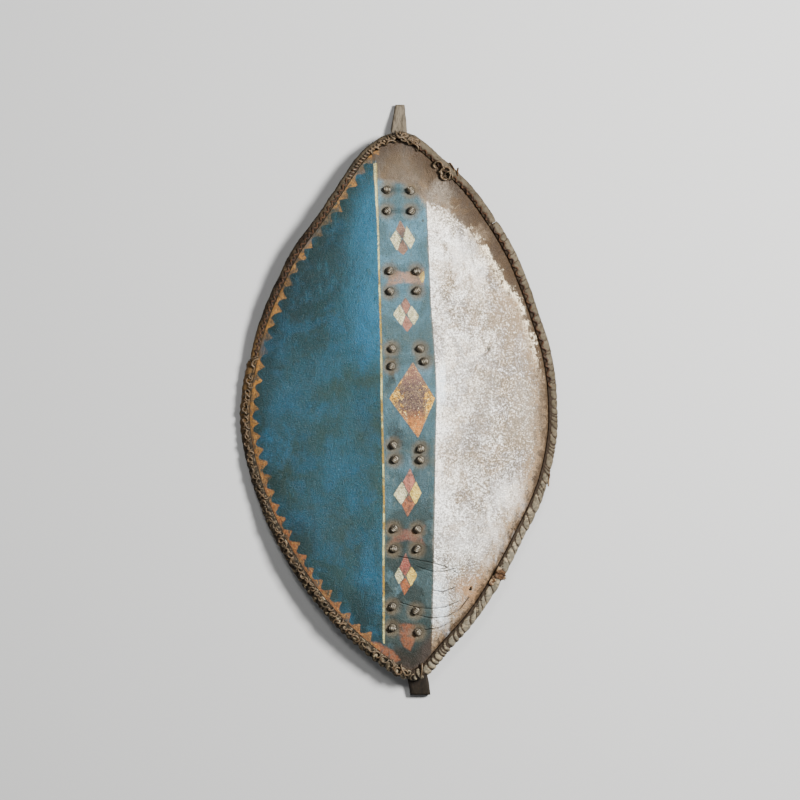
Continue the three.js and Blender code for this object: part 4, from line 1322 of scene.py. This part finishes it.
def make_tied_strands():
    """Loose and knotted strands on the rim, thickest about the head."""
    bm = bmesh.new()
    loose = [  # plan place, then (across the rim, up, along it) of each bend, radius
        ((6, 470), [(-12, 6, -16), (-8, 12, -8), (-6, 14, 2), (-9, 12, 12), (-13, 6, 19)], 2.4),
        ((2, 470), [(2, 11, -14), (-5, 14, -6), (-8, 15, 2), (-3, 14, 9), (4, 10, 13)], 2.7),
        ((10, 468), [(6, 8, -6), (-2, 14, -7), (-9, 12, -3), (-10, 12, 5), (-3, 15, 8), (5, 11, 4)], 2.2),
        ((-10, 462), [(-14, 5, -6), (-9, 10, 0), (-9, 12, 8), (-14, 7, 14)], 2.0),
        ((30, 458), [(-12, 6, -10), (-7, 11, -4), (-8, 11, 6), (-13, 6, 10)], 2.0),
        ((75, 424), [(-12, 7, -10), (-6, 12, -6), (-2, 13, 2), (-6, 12, 9), (-13, 8, 9), (-15, 7, 2)], 2.2),
        ((92, 408), [(-13, 6, -8), (-7, 11, -6), (-4, 12, 1), (-8, 11, 7), (-14, 6, 7)], 1.9),
        ((-40, 446), [(-12, 6, -7), (-7, 10, -4), (-5, 10, 3), (-9, 9, 8), (-13, 5, 5)], 1.7),
        ((-30, 455), [(-12, 6, -7), (-7, 10, -4), (-5, 10, 3), (-9, 9, 8), (-13, 5, 5)], 1.8),
        ((-262, 68), [(-12, 5, -9), (-6, 10, -4), (-4, 11, 4), (-10, 8, 9)], 2.0),
        ((-258, 74), [(-11, 6, -6), (-3, 10, 0), (5, 8, 5)], 1.8),
        ((14, -474), [(-14, 6, -10), (-7, 11, -5), (0, 12, 3), (8, 9, 8)], 2.3),
        ((30, -470), [(-13, 6, 8), (-6, 11, 4), (2, 12, -2), (9, 8, -8)], 2.2),
        ((-8, -470), [(-13, 6, -4), (-6, 11, 2), (2, 11, 6), (9, 7, 9)], 2.1),
    ]
    for number, (plan, bends, wide) in enumerate(loose):
        place, ahead, out, up = rim_frame(near_length(*plan))
        points = [place + out * a + up * b + ahead * c for a, b, c in bends]
        strand(bm, points, wide, 30, 8, rough=0.3, flat=0.75, twist=0.1, seed=number * 2.7 + 1)
    for k in range(44):
        length = head_length + 86 * noise.noise((k * 2.13, 4.0, 1.0)) - 12
        reach = UPPER_RIGHT_REACH if length < head_length else UPPER_LEFT_REACH
        angle = 1.75 + 0.75 * noise.noise((k * 1.71, 2.0, 6.0))
        middle, ahead, across, away = rim_point(length, reach, angle, 0.6)
        heading = 6.0 * noise.noise((k * 1.37, 7.0, 3.0))
        along = ahead * math.cos(heading) + across * math.sin(heading)
        side = away.cross(along)
        size = 1 + 0.6 * noise.noise((k * 1.93, 9.0, 2.0))
        curl = [(-7, -1.5, -1.6), (-3.5, 1.8, 0.8), (0, 2.6, 2.0), (3.5, 0.6, 1.0), (7, -2.4, -1.8)]
        points = [middle + (along * a + side * b) * size + away * c for a, b, c in curl]
        strand(bm, points, 1.75 * size, 18, 6, rough=0.35, flat=0.7, twist=0.2, seed=k * 1.3)
    finish_piece(bm, "rim_tied_strands", materials["chain"], slot="thong_leather")


make_torn_ends()
make_tied_strands()


# Thong lashings and their knots
def knot_path(place, up, toward, seed):
    """A thong wound round itself into a low button, its turns side by side."""
    lean = 1.1 * math.sin(seed * 2.1)
    axis = toward * math.cos(lean) + up.cross(toward) * math.sin(lean)
    side = up.cross(axis)
    points = []
    turns, steps = 3.7, 44
    for k in range(steps + 1):
        t = k / steps
        angle = 2 * math.pi * turns * t + seed
        reach = 4.7 - 1.9 * (2 * t - 1) ** 2
        points.append(place + axis * (10.4 * (t - 0.5)) + side * (reach * math.cos(angle))
                      + up * (3.3 + reach * math.sin(angle)))
    return points


def make_lashing(name):
    (left, right) = knots[name]
    seed = 1.7 * LASHINGS.index(name)
    bm = bmesh.new()
    centres = node_points(name)
    bottom = centres[:, 2].min()
    ends = []
    for number, (x, y) in enumerate((left, right)):
        up = Vector(hide_normal(np.float64(x), np.float64(y)))
        seat = Vector(on_hide(x, y, HIDE_THICKNESS / 2 - 1.2))
        toward = Vector((1, 0, 0)) - up * up.x
        toward.normalize()
        own = seed + 2.3 * number
        strand(bm, knot_path(seat, up, toward, own), 1.62, 112, 7, twist=0.0, flat=0.9, rough=0.25, seed=own)
        collar = [seat + (toward * math.cos(a) + up.cross(toward) * math.sin(a)) * 5.3 + up * 0.7
                  for a in np.linspace(own, own + 2 * math.pi * 1.05, 16)]
        strand(bm, collar, 1.9, 40, 8, twist=0.2, rough=0.2, seed=own + 5)
        core = Vector(on_hide(x, y, HIDE_THICKNESS / 2 + 4))
        ends.append((seat, up, core))
    for offset in (-1.3, 1.3):
        side = Vector((0, offset, 0))
        (seat_a, up_a, core_a), (seat_b, up_b, core_b) = ends
        low_a = Vector((seat_a.x, seat_a.y, bottom + 2.3 + abs(offset) * 0.3))
        low_b = Vector((seat_b.x, seat_b.y, bottom + 2.3 + abs(offset) * 0.3))
        inward = (low_b - low_a).normalized()
        path = [core_a, seat_a - up_a * 5 + side, low_a + Vector((0, 0, 7)) + side,
                low_a + inward * 2.2 + Vector((0, 0, 1.0)) + side, low_a + inward * 7 + side,
                (low_a + low_b) / 2 + side * 0.8,
                low_b - inward * 7 + side, low_b - inward * 2.2 + Vector((0, 0, 1.0)) + side,
                low_b + Vector((0, 0, 7)) + side, seat_b - up_b * 5 + side, core_b]
        strand(bm, path, 1.75, 84, 8, twist=0.18, rough=0.18, seed=seed + offset)
    return finish_piece(bm, name.replace("lashing_", "thong_"), materials["thong"], [name], "thong_leather")


for lashing_name in LASHINGS:
    make_lashing(lashing_name)


# Stave
def make_stave():
    """The construction's stave with its faces cut finer, knife-marked and rounded at its edges."""
    bm = bmesh.new()
    bm.from_mesh(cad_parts["stave"].data)
    bmesh.ops.transform(bm, matrix=Matrix.Scale(1 / MM, 4), verts=bm.verts)
    bmesh.ops.remove_doubles(bm, verts=bm.verts, dist=1e-3)
    bmesh.ops.join_triangles(bm, faces=bm.faces, angle_face_threshold=math.radians(20),
                             angle_shape_threshold=math.radians(180))
    bmesh.ops.subdivide_edges(bm, edges=bm.edges, cuts=5, use_grid_fill=True)
    for _ in range(3):
        bmesh.ops.smooth_vert(bm, verts=bm.verts, factor=0.35,
                              use_axis_x=True, use_axis_y=False, use_axis_z=True)
    bm.normal_update()
    for vert in bm.verts:
        x, y, z = vert.co
        cut = noise.noise((x / 7, y / 34, z / 7)) * 0.9 + noise.noise((x / 2.6, y / 16, z / 2.6)) * 0.3
        if y > 500:
            cut -= 1.6 * max(0.0, noise.noise((x / 5, y / 11, z / 6 + 9)))
        vert.co += vert.normal * cut * 0.6
    return finish_piece(bm, "carved_stave", materials["wood"], ["stave"], "carved_wood")


make_stave()


# Loop of thong on the rim near the head
def make_loop():
    points = node_points("thong_loop")
    centre = Vector((points.min(0) + points.max(0)) / 2)
    spread = points - points.mean(0)
    _, _, axes = np.linalg.svd(spread, full_matrices=False)
    first, second = Vector(axes[0]), Vector(axes[1])
    up = first.cross(second)
    up = up if up.z > 0 else -up
    bm = bmesh.new()
    ring = []
    for k in range(40):
        angle = 2 * math.pi * 1.35 * k / 39 + 0.6
        uneven = noise.noise((k * 0.33, 2.0, 4.0))
        reach = 9.4 + 1.6 * math.sin(2 * angle + 0.5) + 2.6 * uneven
        rise = 1.6 * math.sin(angle * 0.69) + 1.6 * k / 39 + 1.4 * noise.noise((k * 0.41, 6.0, 1.0))
        ring.append(centre + (first * math.cos(angle) + second * math.sin(angle)) * reach + up * rise)
    strand(bm, ring, 3.0, 104, 9, twist=0.08, flat=0.62, rough=0.3, seed=4.4)
    for number in range(3):
        start = 1.3 * number + 0.4
        lock = []
        for t in range(6):
            spoke = first * math.cos(start + 0.35 * t) + second * math.sin(start + 0.35 * t)
            lock.append(centre + spoke * (9.5 + 3.2 * math.sin(t * 1.6 + number))
                        + up * (2.0 + 1.8 * math.sin(t + number * 2)))
        strand(bm, lock, 1.7, 26, 7, twist=0.1, flat=0.6, rough=0.3, seed=number * 3.3)
    return finish_piece(bm, "rim_thong_loop", materials["chain"], ["thong_loop"], "thong_leather")


make_loop()


# Floor, light and camera
def set_stage():
    bm = bmesh.new()
    bmesh.ops.create_grid(bm, x_segments=1, y_segments=1, size=6)
    mesh = bpy.data.meshes.new("floor")
    bm.to_mesh(mesh)
    bm.free()
    floor = bpy.data.objects.new("floor", mesh)
    bpy.context.scene.collection.objects.link(floor)
    plain = bpy.data.materials.new("pale_floor")
    plain.use_nodes = True
    plain.node_tree.nodes["Principled BSDF"].inputs["Base Color"].default_value = (0.275, 0.273, 0.267, 1)
    plain.node_tree.nodes["Principled BSDF"].inputs["Roughness"].default_value = 0.9
    mesh.materials.append(plain)
    world = bpy.data.worlds.new("studio")
    world.use_nodes = True
    world.node_tree.nodes["Background"].inputs["Color"].default_value = (0.9, 0.94, 1.0, 1)
    world.node_tree.nodes["Background"].inputs["Strength"].default_value = 0.2
    bpy.context.scene.world = world
    lights = (("key", (2.45, 1.1, 3.15), 0.9, 960), ("fill", (-2.4, -0.8, 3.0), 2.4, 18),
              ("top", (-0.35, 1.2, 3.3), 0.7, 68))
    for name, place, size, power in lights:
        light = bpy.data.lights.new(name, "AREA")
        light.size = size
        light.energy = power
        lamp = bpy.data.objects.new(name, light)
        lamp.location = place
        lamp.rotation_euler = (Vector((0, 0, 0.05)) - Vector(place)).to_track_quat("-Z", "Y").to_euler()
        bpy.context.scene.collection.objects.link(lamp)


def set_camera():
    """Looks straight down on the shield, as the photograph looks straight at it."""
    camera = bpy.data.cameras.new("camera")
    camera.lens = 150
    camera.sensor_width = 36
    view_width = 1.456
    eye = bpy.data.objects.new("camera", camera)
    eye.location = (0.0018, -0.0005, view_width * camera.lens / camera.sensor_width)
    bpy.context.scene.collection.objects.link(eye)
    bpy.context.scene.camera = eye


set_stage()
set_camera()
